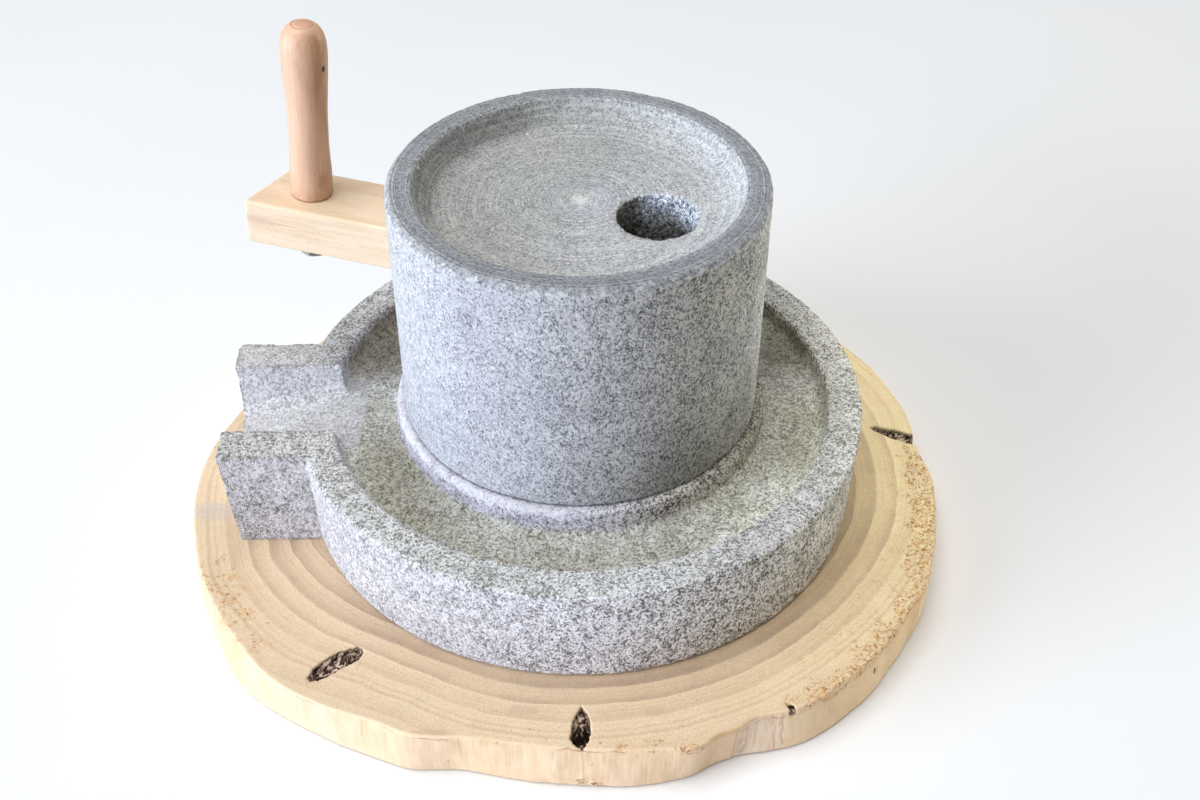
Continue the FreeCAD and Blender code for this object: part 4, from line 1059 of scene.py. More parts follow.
def slice_wood():
    m = Paint("slice_wood")
    raw = m.coords()
    ax = m.xyz(raw)
    ring, inward, bark, crack = m.field("ring"), m.field("inward"), m.field("bark"), m.field("crack")
    decay, flake, side, turn = m.field("decay"), m.field("flake"), m.field("side"), m.field("turn")
    ang = m.math("ARCTAN2", ax[1], ax[0])
    # growth rings: pale just outside each line, darkening towards the next
    w = m.math("ADD", ring, m.math("MULTIPLY", m.math("SUBTRACT", m.noise(raw, 40.0, 2.0), 0.5), 3.6))
    w = m.math("ADD", w, m.math("MULTIPLY", m.math("SUBTRACT", m.noise(raw, 9.0, 2.0), 0.5), 0.9))
    part = m.math("FRACT", m.math("DIVIDE", m.math("ADD", w, 800.0), 8.0))
    saw = m.ramp(part, [(0.0, (0.10,) * 3), (0.035, (0.0,) * 3), (0.10, (0.10,) * 3), (0.45, (0.42,) * 3), (0.86, (0.88,) * 3), (0.965, (1.0,) * 3), (1.0, (0.85,) * 3)])
    saw = m.split(saw)[0]
    narrow = m.noise(None, 1.5, 2.0, 0.6, kind="1D", w=w)
    each = m.noise(None, 9.0, 0.0, 0.5, kind="1D", w=m.math("FLOOR", m.math("DIVIDE", m.math("ADD", w, 800.0), 8.0)))
    keep = m.math("MULTIPLY", m.span(w, 24.0, -2.0, 0.34, 1.0), m.span(m.noise(raw, 34.0, 2.0), 0.30, 0.62, 0.66, 1.0))
    keep = m.math("MULTIPLY", keep, m.span(w, -70.0, -12.0, 0.32, 1.0))
    tone_ = m.math("ADD", m.math("MULTIPLY", m.math("MULTIPLY", saw, keep), 0.76), m.math("MULTIPLY", m.math("SUBTRACT", narrow, 0.5), 0.62))
    tone_ = m.math("ADD", tone_, m.math("MULTIPLY", m.math("SUBTRACT", m.noise(raw, 7.0, 3.0, 0.6), 0.5), 0.30))
    top = m.ramp(tone_, [(0.0, (0.815, 0.635, 0.430)), (0.20, (0.765, 0.580, 0.380)), (0.45, (0.655, 0.485, 0.320)), (0.72, (0.545, 0.390, 0.270)), (1.0, (0.45, 0.315, 0.225))])
    # next to the stone's foot the wood is greyer and darker
    near = m.math("MULTIPLY", m.span(w, 1.5, -1.5), 0.60)
    top = m.blend(near, top, m.blend(1.0, top, (0.88, 0.85, 0.88), "MULTIPLY"))
    # painted light: the top is brighter and yellower towards the right and back, which lie in shade
    painted_light_back_right = m.span(ax[0], 40.0, 150.0)
    top = m.blend(painted_light_back_right, top, m.blend(1.0, top, (1.11, 1.14, 1.04), "MULTIPLY"))
    # painted light on the top's right-front, which lies in shade
    painted_light_right_front = m.math("MULTIPLY", m.span(ax[0], 88.0, 134.0), m.span(ax[1], -80.0, -25.0))
    top = m.blend(painted_light_right_front, top, m.blend(1.0, top, (1.17, 1.22, 1.19), "MULTIPLY"))
    # painted shade: the top a little darker towards the front
    front = m.span(m.math("ADD", ax[1], m.math("MULTIPLY", ax[0], 0.25)), -40.0, -120.0)
    top = m.blend(front, top, m.blend(1.0, top, (0.935, 0.93, 0.93), "MULTIPLY"))
    # a faint wavy figure in the sapwood
    figure = m.math("ABSOLUTE", m.math("SUBTRACT", m.noise(raw, 7.5, 2.0, 0.55, 1.6), 0.5))
    figure = m.math("MULTIPLY", m.math("MULTIPLY", m.span(figure, 0.030, 0.004), m.span(w, 4.0, 14.0)), m.span(m.noise(raw, 26.0, 2.0), 0.42, 0.58))
    top = m.blend(m.math("MULTIPLY", figure, 0.26), top, (0.66, 0.44, 0.25))
    # soft grey-brown stains
    stain = m.span(m.noise(raw, 19.0, 3.0, 0.6), 0.56, 0.72)
    top = m.blend(m.math("MULTIPLY", stain, 0.22), top, (0.62, 0.485, 0.385))

    def patch(centre, scale, edge0, edge1):
        d = m.vec("LENGTH", m.vec("MULTIPLY", m.vec("SUBTRACT", raw, centre), scale), out="Value")
        d = m.math("ADD", d, m.math("MULTIPLY", m.math("SUBTRACT", m.noise(raw, 5.0, 3.0, 0.6), 0.5), 0.9))
        return m.span(d, edge0, edge1)

    for centre, scale, strength, colour in (((-169.0, -28.0, 24.0), (0.075, 0.14, 0.03), 0.62, (0.60, 0.515, 0.45)),
                                            ((-24.0, -139.5, 24.0), (0.14, 0.30, 0.05), 0.40, (0.52, 0.37, 0.28)),
                                            ((28.0, -141.0, 24.0), (0.16, 0.34, 0.05), 0.42, (0.53, 0.37, 0.27)),
                                            ((14.0, -141.5, 24.0), (0.10, 0.42, 0.05), 0.30, (0.58, 0.43, 0.33)),
                                            ((-60.0, -149.5, 24.0), (0.10, 0.55, 0.05), 0.45, (0.56, 0.36, 0.20)),
                                            ((-10.0, -128.0, 24.0), (0.055, 0.34, 0.05), 0.30, (0.55, 0.40, 0.31)),
                                            ((-150.0, -74.0, 24.0), (0.11, 0.11, 0.05), 0.25, (0.70, 0.50, 0.29))):
        top = m.blend(m.math("MULTIPLY", patch(centre, scale, 1.15, 0.45), strength), top, colour)
    # fine pores and faint rays from the pith
    grainy = m.noise(raw, 0.62, 2.0, 0.65)
    top = m.blend(0.9, top, m.ramp(grainy, [(0.30, (0.82, 0.80, 0.77)), (0.50, (1.0, 1.0, 1.0)), (0.70, (1.10, 1.11, 1.13))]), "MULTIPLY")
    pores = m.span(m.noise(raw, 1.1, 2.0, 0.6), 0.64, 0.74)
    top = m.blend(m.math("MULTIPLY", pores, 0.30), top, (0.55, 0.39, 0.24))
    rays = m.noise(m.join(m.math("MULTIPLY", ang, 95.0), m.math("MULTIPLY", ring, 0.05), 0.0), 1.0, 2.0, 0.5)
    top = m.blend(m.span(rays, 0.58, 0.78, 0.0, 0.16), top, (0.64, 0.48, 0.33))
    rays2 = m.noise(m.join(m.math("MULTIPLY", ang, 14.0), m.math("MULTIPLY", ring, 0.012), 3.0), 1.0, 1.0, 0.5)
    top = m.blend(m.span(rays2, 0.40, 0.66, 0.0, 0.16), top, m.blend(1.0, top, (1.09, 1.08, 1.06), "MULTIPLY"))
    # sides: bare sapwood with long fine streaks up and down
    streak = m.noise(m.vec("MULTIPLY", raw, (1.0, 1.0, 0.07)), 1.3, 3.0, 0.6)
    broad_s = m.noise(m.vec("MULTIPLY", raw, (1.0, 1.0, 0.20)), 16.0, 2.0, 0.5)
    wavy = m.noise(m.vec("MULTIPLY", raw, (0.55, 0.55, 1.0)), 9.0, 2.0, 0.5, 1.4)
    sv = m.math("ADD", m.math("MULTIPLY", streak, 0.30), m.math("ADD", m.math("MULTIPLY", broad_s, 0.44), m.math("MULTIPLY", wavy, 0.26)))
    sidecol = m.ramp(sv, [(0.36, (0.76, 0.535, 0.33)), (0.47, (0.855, 0.625, 0.405)), (0.60, (0.90, 0.68, 0.475))])
    pink = m.span(m.noise(m.vec("MULTIPLY", raw, (1.0, 1.0, 0.4)), 20.0, 2.0), 0.50, 0.68)
    sidecol = m.blend(m.math("MULTIPLY", pink, 0.40), sidecol, (0.89, 0.66, 0.52))
    # painted light: the side brighter and yellower towards the right
    painted_light_right_side = m.span(ax[0], 60.0, 140.0)
    sidecol = m.blend(m.math("MULTIPLY", painted_light_right_side, 0.75), sidecol, m.blend(1.0, sidecol, (1.15, 1.17, 1.0), "MULTIPLY"))
    # darker and pinker at the left end of the side: pinker wood, and painted shade against the window light
    sidecol = m.blend(m.span(ax[0], -118.0, -150.0), sidecol, m.blend(1.0, sidecol, (0.97, 0.925, 0.91), "MULTIPLY"))
    # arcs like contour lines where the curved side cuts a growth ring
    arcs = m.math("FRACT", m.math("DIVIDE", m.math("ADD", m.math("MULTIPLY", m.noise(m.vec("MULTIPLY", raw, (1.0, 1.0, 0.9)), 26.0, 1.0), 34.0), m.math("MULTIPLY", ax[2], 0.12)), 4.0))
    arc = m.math("MULTIPLY", m.span(m.math("ABSOLUTE", m.math("SUBTRACT", arcs, 0.5)), 0.11, 0.02), 0.20)
    sidecol = m.blend(arc, sidecol, (0.78, 0.55, 0.34))
    flakecol = m.ramp(streak, [(0.36, (0.78, 0.56, 0.40)), (0.48, (0.90, 0.70, 0.52)), (0.62, (0.95, 0.78, 0.61))])
    sidecol = m.blend(m.math("MULTIPLY", flake, 0.85), sidecol, flakecol)
    specks = m.math("MULTIPLY", m.span(m.noise(m.vec("MULTIPLY", raw, (1.0, 1.0, 0.6)), 1.7, 2.0, 0.6), 0.68, 0.75), m.span(m.noise(raw, 14.0, 1.0), 0.56, 0.64))
    sidecol = m.blend(m.math("MULTIPLY", specks, 0.75), sidecol, (0.48, 0.28, 0.16))
    col = m.blend(side, top, sidecol)
    # a broken reddish-brown line of inner bark along the upper edge
    edge_line = m.math("MULTIPLY", m.span(m.math("ABSOLUTE", m.math("ADD", m.math("SUBTRACT", ax[2], 22.6), m.math("MULTIPLY", m.math("SUBTRACT", m.noise(raw, 5.0, 3.0), 0.5), 3.4))), 0.55, 0.15), side)
    edge_line = m.math("MULTIPLY", edge_line, m.span(m.noise(raw, 24.0, 2.0), 0.52, 0.60))
    col = m.blend(m.math("MULTIPLY", edge_line, 0.7), col, (0.50, 0.27, 0.17))

    def upright(azimuth, width, z0, z1, wander=1.2):
        a = math.radians(azimuth if azimuth < 180 else azimuth - 360)
        off = m.math("MULTIPLY", m.math("SUBTRACT", ang, a), 160.0)
        off = m.math("ADD", off, m.math("MULTIPLY", m.math("SUBTRACT", m.noise(m.vec("MULTIPLY", raw, (0.2, 0.2, 1.0)), 6.0, 2.0), 0.5), wander * 2))
        f = m.span(m.math("ABSOLUTE", off), width, width * 0.25)
        f = m.math("MULTIPLY", f, m.math("MULTIPLY", m.span(ax[2], z0, z0 + 1.5), m.span(ax[2], z1, z1 - 1.5)))
        return m.math("MULTIPLY", f, side)

    col = m.blend(m.math("MULTIPLY", upright(269.9, 0.40, 2.0, 24.5, 0.8), 0.45), col, (0.55, 0.32, 0.19))
    col = m.blend(m.math("MULTIPLY", upright(299.1, 0.8, 3.0, 23.5, 2.0), 0.62), col, (0.60, 0.33, 0.21))
    col = m.blend(m.math("MULTIPLY", upright(298.0, 0.5, 1.0, 20.0, 2.6), 0.5), col, (0.66, 0.40, 0.27))
    col = m.blend(m.math("MULTIPLY", upright(293.3, 3.6, 0.0, 21.5, 3.0), m.span(m.noise(raw, 3.4, 3.0, 0.6), 0.42, 0.62, 0.10, 0.62)), col, (0.56, 0.40, 0.31))
    col = m.blend(m.math("MULTIPLY", upright(291.9, 0.5, 1.0, 22.0, 0.4), 0.5), col, (0.52, 0.38, 0.27))
    # a wavy reddish line runs just under the top edge there, and a yellow one left of it
    wavy_line = m.span(m.math("ABSOLUTE", m.math("ADD", m.math("SUBTRACT", ax[2], 20.4), m.math("MULTIPLY", m.math("SUBTRACT", m.noise(raw, 3.2, 3.0, 0.6), 0.5), 5.5))), 0.50, 0.12)
    wavy_line = m.math("MULTIPLY", wavy_line, m.math("MULTIPLY", m.span(turn, 294.6, 295.4), m.span(turn, 300.2, 299.2)))
    col = m.blend(m.math("MULTIPLY", m.math("MULTIPLY", wavy_line, side), 0.7), col, (0.55, 0.26, 0.17))
    lip = m.math("MULTIPLY", m.math("MULTIPLY", m.span(m.math("ADD", ax[2], m.math("MULTIPLY", m.math("SUBTRACT", m.noise(raw, 3.0, 2.0), 0.5), 2.4)), 20.6, 22.0), m.span(turn, 286.8, 288.2)), m.math("MULTIPLY", m.span(turn, 292.6, 291.8), side))
    col = m.blend(m.math("MULTIPLY", lip, 0.55), col, (0.72, 0.46, 0.20))
    # painted shade: near-black inside the borer's hole
    col = m.blend(m.span(m.field("borer"), 0.25, 0.55), col, (0.018, 0.010, 0.007))
    col = m.blend(m.math("MULTIPLY", upright(238.5, 0.5, 12.0, 23.0, 1.0), 0.55), col, (0.62, 0.40, 0.26))
    # little cluster of pits at the bottom of the side, below the front pocket
    low = m.math("MULTIPLY", m.math("MULTIPLY", m.span(m.math("ABSOLUTE", m.math("ADD", ax[0], -1.0)), 9.0, 4.0), m.span(ax[2], 7.5, 4.0)), side)
    low = m.math("MULTIPLY", low, m.math("MULTIPLY", m.span(m.noise(raw, 2.0, 2.0, 0.6), 0.50, 0.60), m.span(ax[1], -100.0, -120.0)))
    col = m.blend(m.math("MULTIPLY", low, 0.85), col, m.ramp(m.noise(raw, 2.6, 1.0), [(0.42, (0.26, 0.13, 0.08)), (0.60, (0.66, 0.38, 0.22))]))
    # orange-brown pits
    pit = m.span(m.noise(raw, 1.12, 2.0, 0.60, 0.4), 0.502, 0.570)
    lump = m.span(m.noise(raw, 6.0, 2.0, 0.6), 0.40, 0.58)
    pitm = m.math("MULTIPLY", pit, m.math("MULTIPLY", m.span(m.math("ADD", decay, m.math("MULTIPLY", m.math("SUBTRACT", lump, 0.5), 0.7)), 0.30, 0.75), m.span(decay, 0.03, 0.25)))
    col = m.blend(m.math("MULTIPLY", pitm, 0.9), col, m.ramp(m.noise(raw, 2.4, 1.0), [(0.36, (0.40, 0.17, 0.055)), (0.48, (0.64, 0.31, 0.095)), (0.62, (0.80, 0.48, 0.19))]))
    # scattered tiny holes
    dot_d = m.math("ADD", m.cells(raw, 6.5, out="Distance"), m.math("MULTIPLY", m.noise(raw, 1.0, 1.0), 0.06))
    dot = m.math("MULTIPLY", m.span(dot_d, 0.135, 0.085), m.span(m.split(m.cells(raw, 6.5))[0], 0.74, 0.77))
    dot = m.math("MULTIPLY", dot, m.span(inward, 34.0, 18.0))
    col = m.blend(m.math("MULTIPLY", dot, 0.75), col, (0.42, 0.25, 0.13))
    # bark in the pockets: near-black walls, fibrous curls of grey and cream inside; painted shade makes the deeper
    # parts near-black
    out_r = m.math("SQRT", m.math("ADD", m.math("MULTIPLY", ax[0], ax[0]), m.math("MULTIPLY", ax[1], ax[1])))
    strand = m.join(m.math("MULTIPLY", ang, 155.0), m.math("MULTIPLY", out_r, 0.36), m.math("MULTIPLY", ax[2], 0.5))
    swirl = m.vec("ADD", strand, m.vec("MULTIPLY", m.noise(raw, 4.2, 1.0, color=True), (5.0, 2.0, 2.0)))
    fib = m.noise(swirl, 1.05, 2.0, 0.55)
    pale_bark = m.ramp(fib, [(0.42, (0.014, 0.007, 0.004)), (0.49, (0.060, 0.030, 0.017)), (0.55, (0.32, 0.20, 0.135)), (0.63, (0.78, 0.63, 0.50))])
    deep_bark_and_shade = m.ramp(fib, [(0.40, (0.004, 0.0022, 0.0015)), (0.54, (0.022, 0.011, 0.006)), (0.66, (0.16, 0.085, 0.042))])
    # painted shade: deeper down the bark turns near-black
    shallow = m.span(ax[2], 15.5, 20.8)
    barkcol = m.blend(shallow, deep_bark_and_shade, pale_bark)
    col = m.blend(m.span(bark, 0.30, 0.62), col, barkcol)
    # a dark rim round each pocket
    col = m.blend(m.math("MULTIPLY", m.math("MULTIPLY", m.span(bark, 0.02, 0.35), m.span(bark, 0.80, 0.40)), 0.75), col, (0.06, 0.035, 0.022))
    col = m.blend(m.math("MULTIPLY", crack, 0.9), col, (0.20, 0.11, 0.09))
    n = m.bump(m.math("MULTIPLY", m.math("ADD", m.math("MULTIPLY", grainy, 0.6), m.math("MULTIPLY", saw, -0.15)), m.span(side, 0.0, 1.0, 1.0, 0.2)), 0.12, 0.8)
    n = m.bump(m.math("MULTIPLY", streak, side), 0.22, 0.8, n)
    n = m.bump(m.math("MULTIPLY", pitm, -1.0), 0.22, 0.7, n)
    n = m.bump(m.math("MULTIPLY", bark, fib), 1.2, 1.0, n)
    rough = m.span(tone_, 0.0, 0.9, 0.58, 0.74, False)
    return m.finish(col, rough, n, 0.33)


# ========================================================= arm and handle
def make_arm():
    ob = dense("crank_arm", "crank_bar", 0.80)
    me = ob.data
    p = get_points(me)
    nrm = get_normals(me)
    q = to_arm(p)
    nq = nrm @ ARM_M
    edge = edge_distance("crank_arm", p, least=18.0)
    free = smooth(77.5, 80.5, q[:, 0])
    hole = np.hypot(q[:, 0] - 115.2, q[:, 1]) < 5.2
    wave = 0.10 * noise(q * [0.22, 1, 1], 9.0, 111) + 0.04 * noise(q * [0.3, 1, 1], 3.0, 112)
    dent = -0.22 * smooth(0.45, 0.8, noise(q, 5.0, 113)) * np.exp(-(edge / 1.2) ** 2)
    end = smooth(126.0, 129.0, q[:, 0]) * (np.abs(nq[:, 0]) > 0.5)
    saw = 0.06 * noise(q * [1, 0.15, 1], 2.4, 114) * end
    d = (wave + dent + saw - 0.05) * free
    d = np.where(hole & (np.abs(nq[:, 2]) < 0.6), 0.0, d)
    q = q + nq * d[:, None]
    set_points(me, from_arm(q))
    return ob


def handle_wood(name, colour, tilt=True, ends=0.0):
    """Pale close-grained wood.  The grain runs along the arm, or up the grip."""
    m = Paint(name)
    raw = m.coords()
    if tilt:
        # into the bar's own frame: x along the bar
        v = m.vec("SUBTRACT", raw, (0.0, 0.0, 149.2))
        rows = [tuple(ARM_M[:, k]) for k in range(3)]
        local = m.join(*[m.vec("DOT_PRODUCT", v, rows[k], "Value") for k in range(3)])
        long_ = m.vec("MULTIPLY", local, (0.055, 1.0, 1.0))
        fleck_v = m.vec("MULTIPLY", local, (0.42, 1.3, 1.3))
        slow = m.vec("MULTIPLY", local, (0.12, 0.8, 1.0))
    else:
        long_ = m.vec("MULTIPLY", raw, (1.0, 1.0, 0.06))
        fleck_v = m.vec("MULTIPLY", raw, (1.4, 1.4, 0.38))
        slow = m.vec("MULTIPLY", raw, (0.9, 0.9, 0.12))
    lines = m.noise(long_, 1.35, 3.0, 0.6, 0.4)
    broad = m.noise(slow, 9.0, 2.0, 0.5, 0.8)
    mix = m.math("ADD", m.math("MULTIPLY", lines, 0.5), m.math("MULTIPLY", broad, 0.5))
    dark, mid, light = colour
    col = m.ramp(mix, [(0.34, dark), (0.48, mid), (0.64, light)])
    fleck = m.span(m.noise(fleck_v, 0.8, 1.0, 0.5), 0.64, 0.74)
    col = m.blend(m.math("MULTIPLY", fleck, 0.40), col, tuple(c * 0.62 for c in dark))
    return m, raw, col, lines, fleck, long_, (local if tilt else raw)


def bar_wood():
    m, raw, col, lines, fleck, long_, local = handle_wood(
        "bar_wood", ((0.755, 0.55, 0.375), (0.825, 0.64, 0.465), (0.86, 0.69, 0.53)))
    q = m.xyz(local)
    # a mauve streak along the front face and a small mark on top
    wander = m.math("MULTIPLY", m.math("SUBTRACT", m.noise(m.vec("MULTIPLY", local, (0.14, 0.5, 0.5)), 2.4, 2.0), 0.5), 2.0)
    band = m.math("ABSOLUTE", m.math("ADD", m.math("ADD", q[2], 8.1), wander))
    band = m.math("DIVIDE", band, m.span(q[0], 115.0, 140.0, 0.30, 1.9, False))
    streak = m.math("MULTIPLY", m.span(band, 1.0, 0.25), m.span(q[0], 114.0, 119.0))
    streak = m.math("MULTIPLY", streak, m.span(q[1], 10.0, 15.0))
    col = m.blend(m.math("MULTIPLY", streak, 0.50), col, (0.60, 0.36, 0.29))
    mark = m.span(m.vec("LENGTH", m.vec("MULTIPLY", m.vec("SUBTRACT", local, (129.0, -4.0, 0.0)), (0.55, 1.6, 0.2)), out="Value"), 1.6, 0.6)
    col = m.blend(m.math("MULTIPLY", mark, 0.5), col, (0.60, 0.40, 0.28))
    # painted light: the upper face is a little paler
    col = m.blend(m.span(q[2], -1.6, -0.2), col, m.blend(1.0, col, (1.09, 1.09, 1.05), "MULTIPLY"))
    # end grain is darker
    endm = m.math("MULTIPLY", m.span(q[0], 127.5, 139.6), 0.25)
    col = m.blend(endm, col, (0.74, 0.56, 0.42))
    n = m.bump(lines, 0.10, 0.7)
    n = m.bump(fleck, 0.06, 0.6, n)
    rough = m.span(lines, 0.3, 0.7, 0.60, 0.46, False)
    return m.finish(col, rough, n, 0.40)


GRIP_D = np.array([0.087927, -0.019719, 0.995932])
GRIP_O = np.array([-111.951, 25.106, 159.581])


def lathe(name, loop, sides, base, frame3, wobble=None, close=True):
    """Turn a list of (radius, height) about the grip's axis."""
    a = np.arange(sides) * 2 * math.pi / sides
    pts = []
    for rr, hh in loop:
        ring = np.stack([rr * np.cos(a), rr * np.sin(a), np.full(sides, hh)], 1)
        pts.append(ring)
    q = np.concatenate(pts)
    if wobble is not None:
        q = wobble(q)
    n = len(loop)
    idx = np.arange(sides)
    nxt = np.roll(idx, -1)
    faces = []
    last = n if close else n - 1
    for k in range(last):
        u, v = k * sides, ((k + 1) % n) * sides
        faces += [tuple(f) for f in np.stack([u + idx, u + nxt, v + nxt, v + idx], 1)]
    if not close:
        c0, c1 = len(q), len(q) + 1
        q = np.concatenate([q, [[0, 0, loop[0][1]]], [[0, 0, loop[-1][1]]]])
        for k in range(sides):
            faces.append((c0, (k + 1) % sides, k))
            u = (n - 1) * sides
            faces.append((c1, u + k, u + (k + 1) % sides))
    p = q @ frame3.T + base
    me = grid_mesh(name, p, faces)
    bm = bmesh.new()
    bm.from_mesh(me)
    bmesh.ops.recalc_face_normals(bm, faces=bm.faces)
    bm.to_mesh(me)
    bm.free()
    set_smooth(me)
    return new_object(name, me)


GRIP_PROFILE = [(0.2, 7.9), (0.45, 8.3), (1.0, 8.6), (6, 8.62), (11, 8.6), (15, 8.34), (19, 8.13), (24, 8.0), (31, 7.98), (38, 8.05),
                (42, 8.2), (46, 8.42), (51, 8.66), (56, 8.88), (61, 9.05), (64.5, 9.12), (67, 9.03), (69.6, 8.66), (72, 7.9),
                (73.9, 6.8), (75.1, 5.5), (75.55, 4.7), (75.7, 4.2)]


def spline_profile(points, step):
    """Smooth (height, radius) by arc length through the given points."""
    pts = np.array(points, float)
    d = np.concatenate([[0], np.cumsum(np.hypot(*np.diff(pts, axis=0).T))])
    # Catmull-Rom style tangents on arc length
    m = np.zeros_like(pts)
    m[1:-1] = (pts[2:] - pts[:-2]) / (d[2:] - d[:-2])[:, None]
    m[0] = (pts[1] - pts[0]) / (d[1] - d[0])
    m[-1] = (pts[-1] - pts[-2]) / (d[-1] - d[-2])
    s = np.linspace(0, d[-1], int(d[-1] / step) + 1)
    j = np.clip(np.searchsorted(d, s, side="right") - 1, 0, len(d) - 2)
    h = (d[j + 1] - d[j])
    t = (s - d[j]) / h
    t2, t3 = t * t, t * t * t
    return ((2 * t3 - 3 * t2 + 1)[:, None] * pts[j] + (t3 - 2 * t2 + t)[:, None] * h[:, None] * m[j]
            + (-2 * t3 + 3 * t2)[:, None] * pts[j + 1] + (t3 - t2)[:, None] * h[:, None] * m[j + 1])


def make_grip():
    outer = spline_profile(GRIP_PROFILE, 0.55)
    loop = [(float(r), float(h)) for h, r in outer]
    loop += [(4.05, 75.66), (4.0, 75.3)]
    loop += [(4.0, h) for h in (70.0, 60.0, 45.0, 30.0, 15.0, 0.6)]
    loop += [(4.3, 0.2), (5.4, 0.2), (6.8, 0.2)]

    def hand_turned(q):
        r = np.hypot(q[:, 0], q[:, 1])
        d = (0.06 * noise(q * [1, 1, 0.3], 8.0, 121) + 0.035 * line(q[:, 2], 4.6, 122)) * smooth(6.0, 8.0, r)
        # a tiny knot
        knot = np.exp(-((q[:, 2] - 59.6) / 1.0) ** 2 - ((np.arctan2(q[:, 1], q[:, 0]) * 8.9 - 25.6) / 0.9) ** 2)
        d -= 0.5 * knot
        q[:, 0] += q[:, 0] / r * d
        q[:, 1] += q[:, 1] / r * d
        return q

    ob = lathe("turned_grip", loop, 144, GRIP_O, ARM_M, hand_turned)
    return ob


def make_plug():
    loop = [(0.6, 65.0), (3.4, 65.0), (3.8, 65.6), (3.96, 70.0), (3.97, 75.2), (3.94, 75.52), (3.78, 75.76), (3.2, 75.93), (2.4, 76.06), (1.5, 76.12), (0.6, 76.14)]
    return lathe("grip_plug_domed", loop, 64, GRIP_O, ARM_M, lambda q: q + np.stack([0 * q[:, 0], 0 * q[:, 0], 0.03 * noise(q, 2.0, 131) * (q[:, 2] > 75)], 1), close=False)


def grip_wood(name="grip_wood", plug=False):
    m = Paint(name)
    raw = m.coords()
    v = m.vec("SUBTRACT", raw, tuple(GRIP_O))
    local = m.join(*[m.vec("DOT_PRODUCT", v, tuple(ARM_M[:, k]), "Value") for k in range(3)])
    q = m.xyz(local)
    long_ = m.vec("MULTIPLY", local, (1.0, 1.0, 0.05))
    lines = m.noise(long_, 1.25, 3.0, 0.6, 0.35)
    broad = m.noise(m.vec("MULTIPLY", local, (0.8, 0.8, 0.11)), 7.0, 2.0, 0.5, 0.6)
    mix = m.math("ADD", m.math("MULTIPLY", lines, 0.45), m.math("MULTIPLY", broad, 0.55))
    col = m.ramp(mix, [(0.34, (0.57, 0.315, 0.185)), (0.49, (0.70, 0.415, 0.275)), (0.66, (0.765, 0.49, 0.35))])
    fleck = m.span(m.noise(m.vec("MULTIPLY", local, (1.5, 1.5, 0.34)), 0.75, 1.0, 0.5), 0.62, 0.72)
    col = m.blend(m.math("MULTIPLY", fleck, 0.32), col, (0.42, 0.21, 0.115))
    if plug:
        col = m.blend(0.6, col, (0.76, 0.45, 0.30))
    else:
        # the small dark knot near the top, and darker towards the foot
        knot = m.span(m.vec("LENGTH", m.vec("MULTIPLY", m.vec("SUBTRACT", local, (-8.7, 2.35, 59.6)), (0.4, 1.0, 0.80)), out="Value"), 1.35, 0.70)
        col = m.blend(m.math("MULTIPLY", knot, 0.95), col, (0.055, 0.028, 0.018))
        # painted shade: the side away from the window is a deeper, redder brown
        painted_shade_right = m.span(q[0], -2.2, -8.6)
        col = m.blend(m.math("MULTIPLY", painted_shade_right, 0.9), col, m.blend(1.0, col, (0.80, 0.735, 0.575), "MULTIPLY"))
        smear = m.span(m.math("ADD", m.vec("LENGTH", m.vec("MULTIPLY", m.vec("SUBTRACT", local, (-7.2, 5.0, 9.6)), (0.8, 0.8, 0.42)), out="Value"), m.math("MULTIPLY", m.noise(local, 2.2, 2.0), 1.6)), 3.2, 1.6)
        col = m.blend(m.math("MULTIPLY", smear, 0.45), col, (0.36, 0.19, 0.10))
        foot = m.math("MULTIPLY", m.span(q[2], 9.0, 0.5), m.span(m.noise(local, 4.0, 2.0), 0.40, 0.62))
        col = m.blend(m.math("MULTIPLY", foot, 0.45), col, (0.45, 0.27, 0.17))
        scratch = m.math("MULTIPLY", m.span(m.noise(m.vec("MULTIPLY", local, (0.6, 0.6, 0.16)), 1.6, 1.0), 0.66, 0.72), m.span(q[2], 30.0, 60.0))
        col = m.blend(m.math("MULTIPLY", scratch, 0.35), col, (0.55, 0.34, 0.24))
        # end grain on the crown
        crown = m.span(q[2], 72.5, 75.5)
        col = m.blend(m.math("MULTIPLY", crown, 0.5), col, (0.80, 0.53, 0.38))
    n = m.bump(lines, 0.09, 0.7)
    n = m.bump(fleck, 0.05, 0.5, n)
    rough = m.span(lines, 0.3, 0.7, 0.52, 0.38, False)
    return m.finish(col, rough, n, 0.45)


# ================================================================= metals
def metal(name, colour, rough_lo, rough_hi, size, turned=True, dull=0.0):
    m = Paint(name)
    raw = m.coords()
    if turned:
        fine = m.noise(m.vec("MULTIPLY", raw, (0.12, 0.12, 1.0)), size, 3.0, 0.6)
    else:
        fine = m.noise(raw, size, 3.0, 0.6)
    cloud = m.noise(raw, 4.0, 3.0, 0.6)
    dark = tuple(c * 0.55 for c in colour)
    col = m.blend(m.span(cloud, 0.42, 0.68, 0.0, 0.75), colour, dark)
    if dull:
        col = m.blend(m.span(m.noise(raw, 2.1, 3.0, 0.65), 0.56, 0.70, 0.0, dull), col, (0.16, 0.10, 0.065))
    n = m.bump(fine, 0.05, 0.6)
    rough = m.span(m.math("ADD", m.math("MULTIPLY", fine, 0.5), m.math("MULTIPLY", cloud, 0.5)), 0.3, 0.7, rough_lo, rough_hi, False)
    return m.finish(col, rough, n, 0.5, 1.0)


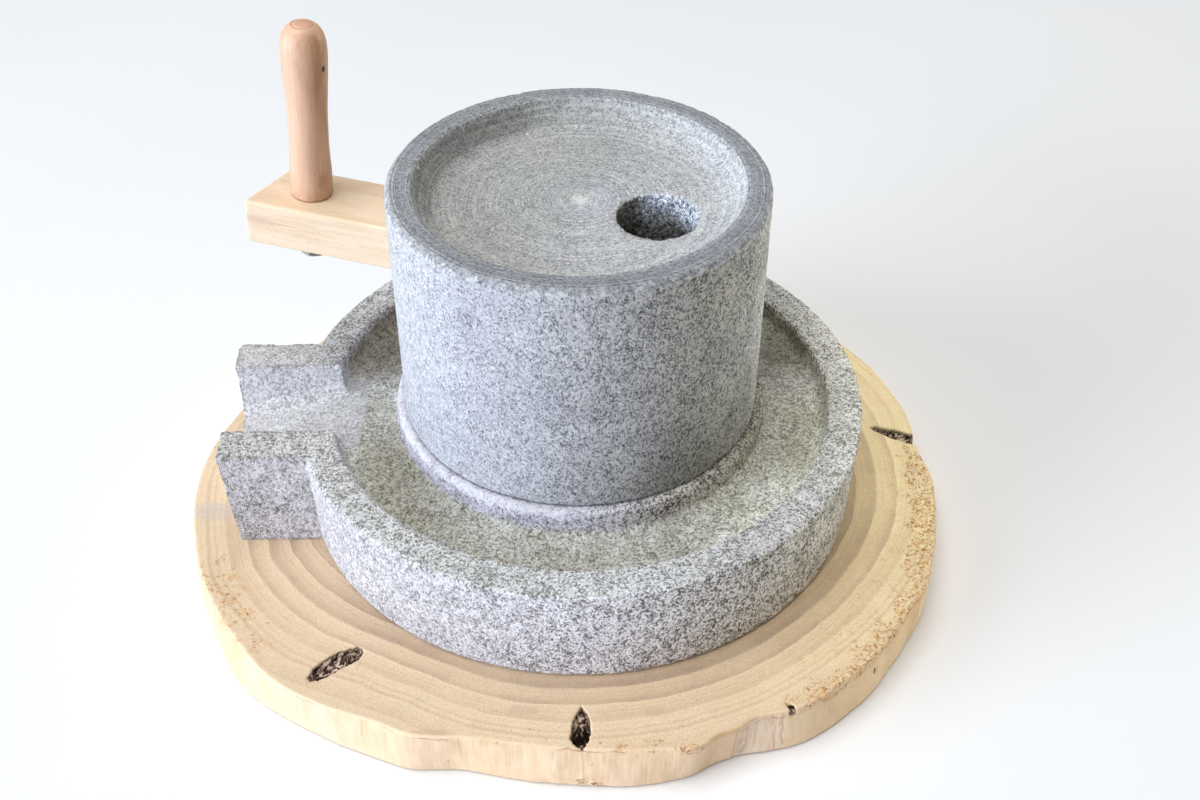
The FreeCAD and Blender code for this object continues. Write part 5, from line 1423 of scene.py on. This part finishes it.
def sleeve_wood():
    m = Paint("sleeve_wood")
    raw = m.coords()
    lines = m.noise(m.vec("MULTIPLY", raw, (1.0, 1.0, 0.07)), 1.2, 3.0, 0.6, 0.3)
    rings = m.noise(m.vec("MULTIPLY", raw, (1.0, 0.35, 0.05)), 2.6, 2.0, 0.5, 0.6)
    col = m.ramp(m.math("ADD", m.math("MULTIPLY", lines, 0.5), m.math("MULTIPLY", rings, 0.5)), [(0.36, (0.23, 0.125, 0.06)), (0.50, (0.38, 0.22, 0.115)), (0.66, (0.52, 0.33, 0.185))])
    n = m.bump(lines, 0.12, 0.8)
    return m.finish(col, m.span(lines, 0.3, 0.7, 0.66, 0.48, False), n, 0.4)


# ==================================================================== build
runner = make_runner()
stand_in(runner, "runner_stone", "runner", granite_runner())
bed = make_bed()
stand_in(bed, "bed_stone", "bed", granite_bed())
board = make_board()
stand_in(board, "base_board", "board", slice_wood())
arm = make_arm()
stand_in(arm, "crank_arm", "arm", bar_wood())
grip = make_grip()
stand_in(grip, "grip", "handle", grip_wood())
plug = make_plug()
stand_in(plug, "grip_plug", "handle", grip_wood("plug_wood", True))

steel = metal("worn_steel", (0.40, 0.39, 0.38), 0.32, 0.52, 0.5, False, 0.55)
for node in ("flat_washer", "hex_nut", "grip_stud"):
    show(node, steel)
show("pivot_pin", metal("turned_steel", (0.62, 0.62, 0.63), 0.20, 0.36, 0.35))
show("runner_bush", metal("turned_brass", (0.72, 0.52, 0.24), 0.22, 0.40, 0.4, True, 0.25))
show("bed_bush", sleeve_wood())


# =================================================================== stage
def make_stage():
    me = bpy.data.meshes.new("floor")
    s = 3.0
    me.from_pydata([(-s, -s, -0.0004), (s, -s, -0.0004), (s, s, -0.0004), (-s, s, -0.0004)], [], [(0, 1, 2, 3)])
    floor = new_object("floor", me)
    m = Paint("pale_floor")
    n = m.noise(m.coords(), 240.0, 2.0)
    col = m.ramp(n, [(0.35, (0.905, 0.91, 0.918)), (0.65, (0.925, 0.928, 0.934))])
    me.materials.append(m.finish(col, 0.62, None, 0.2))


def area(name, where, look, size, power, colour, size_y=None):
    data = bpy.data.lights.new(name, "AREA")
    data.energy = power
    data.color = colour
    data.size = size
    if size_y:
        data.shape = "RECTANGLE"
        data.size_y = size_y
    ob = bpy.data.objects.new(name, data)
    bpy.context.scene.collection.objects.link(ob)
    ob.location = where
    ob.rotation_euler = (Vector(look) - Vector(where)).to_track_quat("-Z", "Y").to_euler()


make_stage()
world = bpy.data.worlds.new("soft_room")
bpy.context.scene.world = world
world.use_nodes = True
back = world.node_tree.nodes["Background"]
back.inputs["Color"].default_value = (1.0, 0.98, 0.94, 1.0)
back.inputs["Strength"].default_value = 0.09


def toward(azimuth, elevation, distance, centre=(0.0, 0.0, 0.09)):
    a, e = math.radians(azimuth), math.radians(elevation)
    return (centre[0] + distance * math.cos(e) * math.cos(a), centre[1] + distance * math.cos(e) * math.sin(a), centre[2] + distance * math.sin(e))


area("window", toward(204.0, 13.5, 4.0), (0, 0, 0.10), 2.9, 205.0, (0.83, 0.93, 1.07), 1.9)
area("ceiling", (-0.32, -0.22, 2.7), (0.0, 0, 0), 2.2, 58.5, (1.0, 1.0, 0.99))
area("far_wall", toward(18.0, 9.0, 2.5), (0, 0, 0.06), 2.0, 20.0, (1.0, 0.96, 0.89), 0.7)
bpy.context.scene.view_settings.view_transform = "Standard"
bpy.context.scene.view_settings.look = "None"
bpy.context.scene.view_settings.exposure = 0.0
bpy.context.scene.view_settings.gamma = 1.0
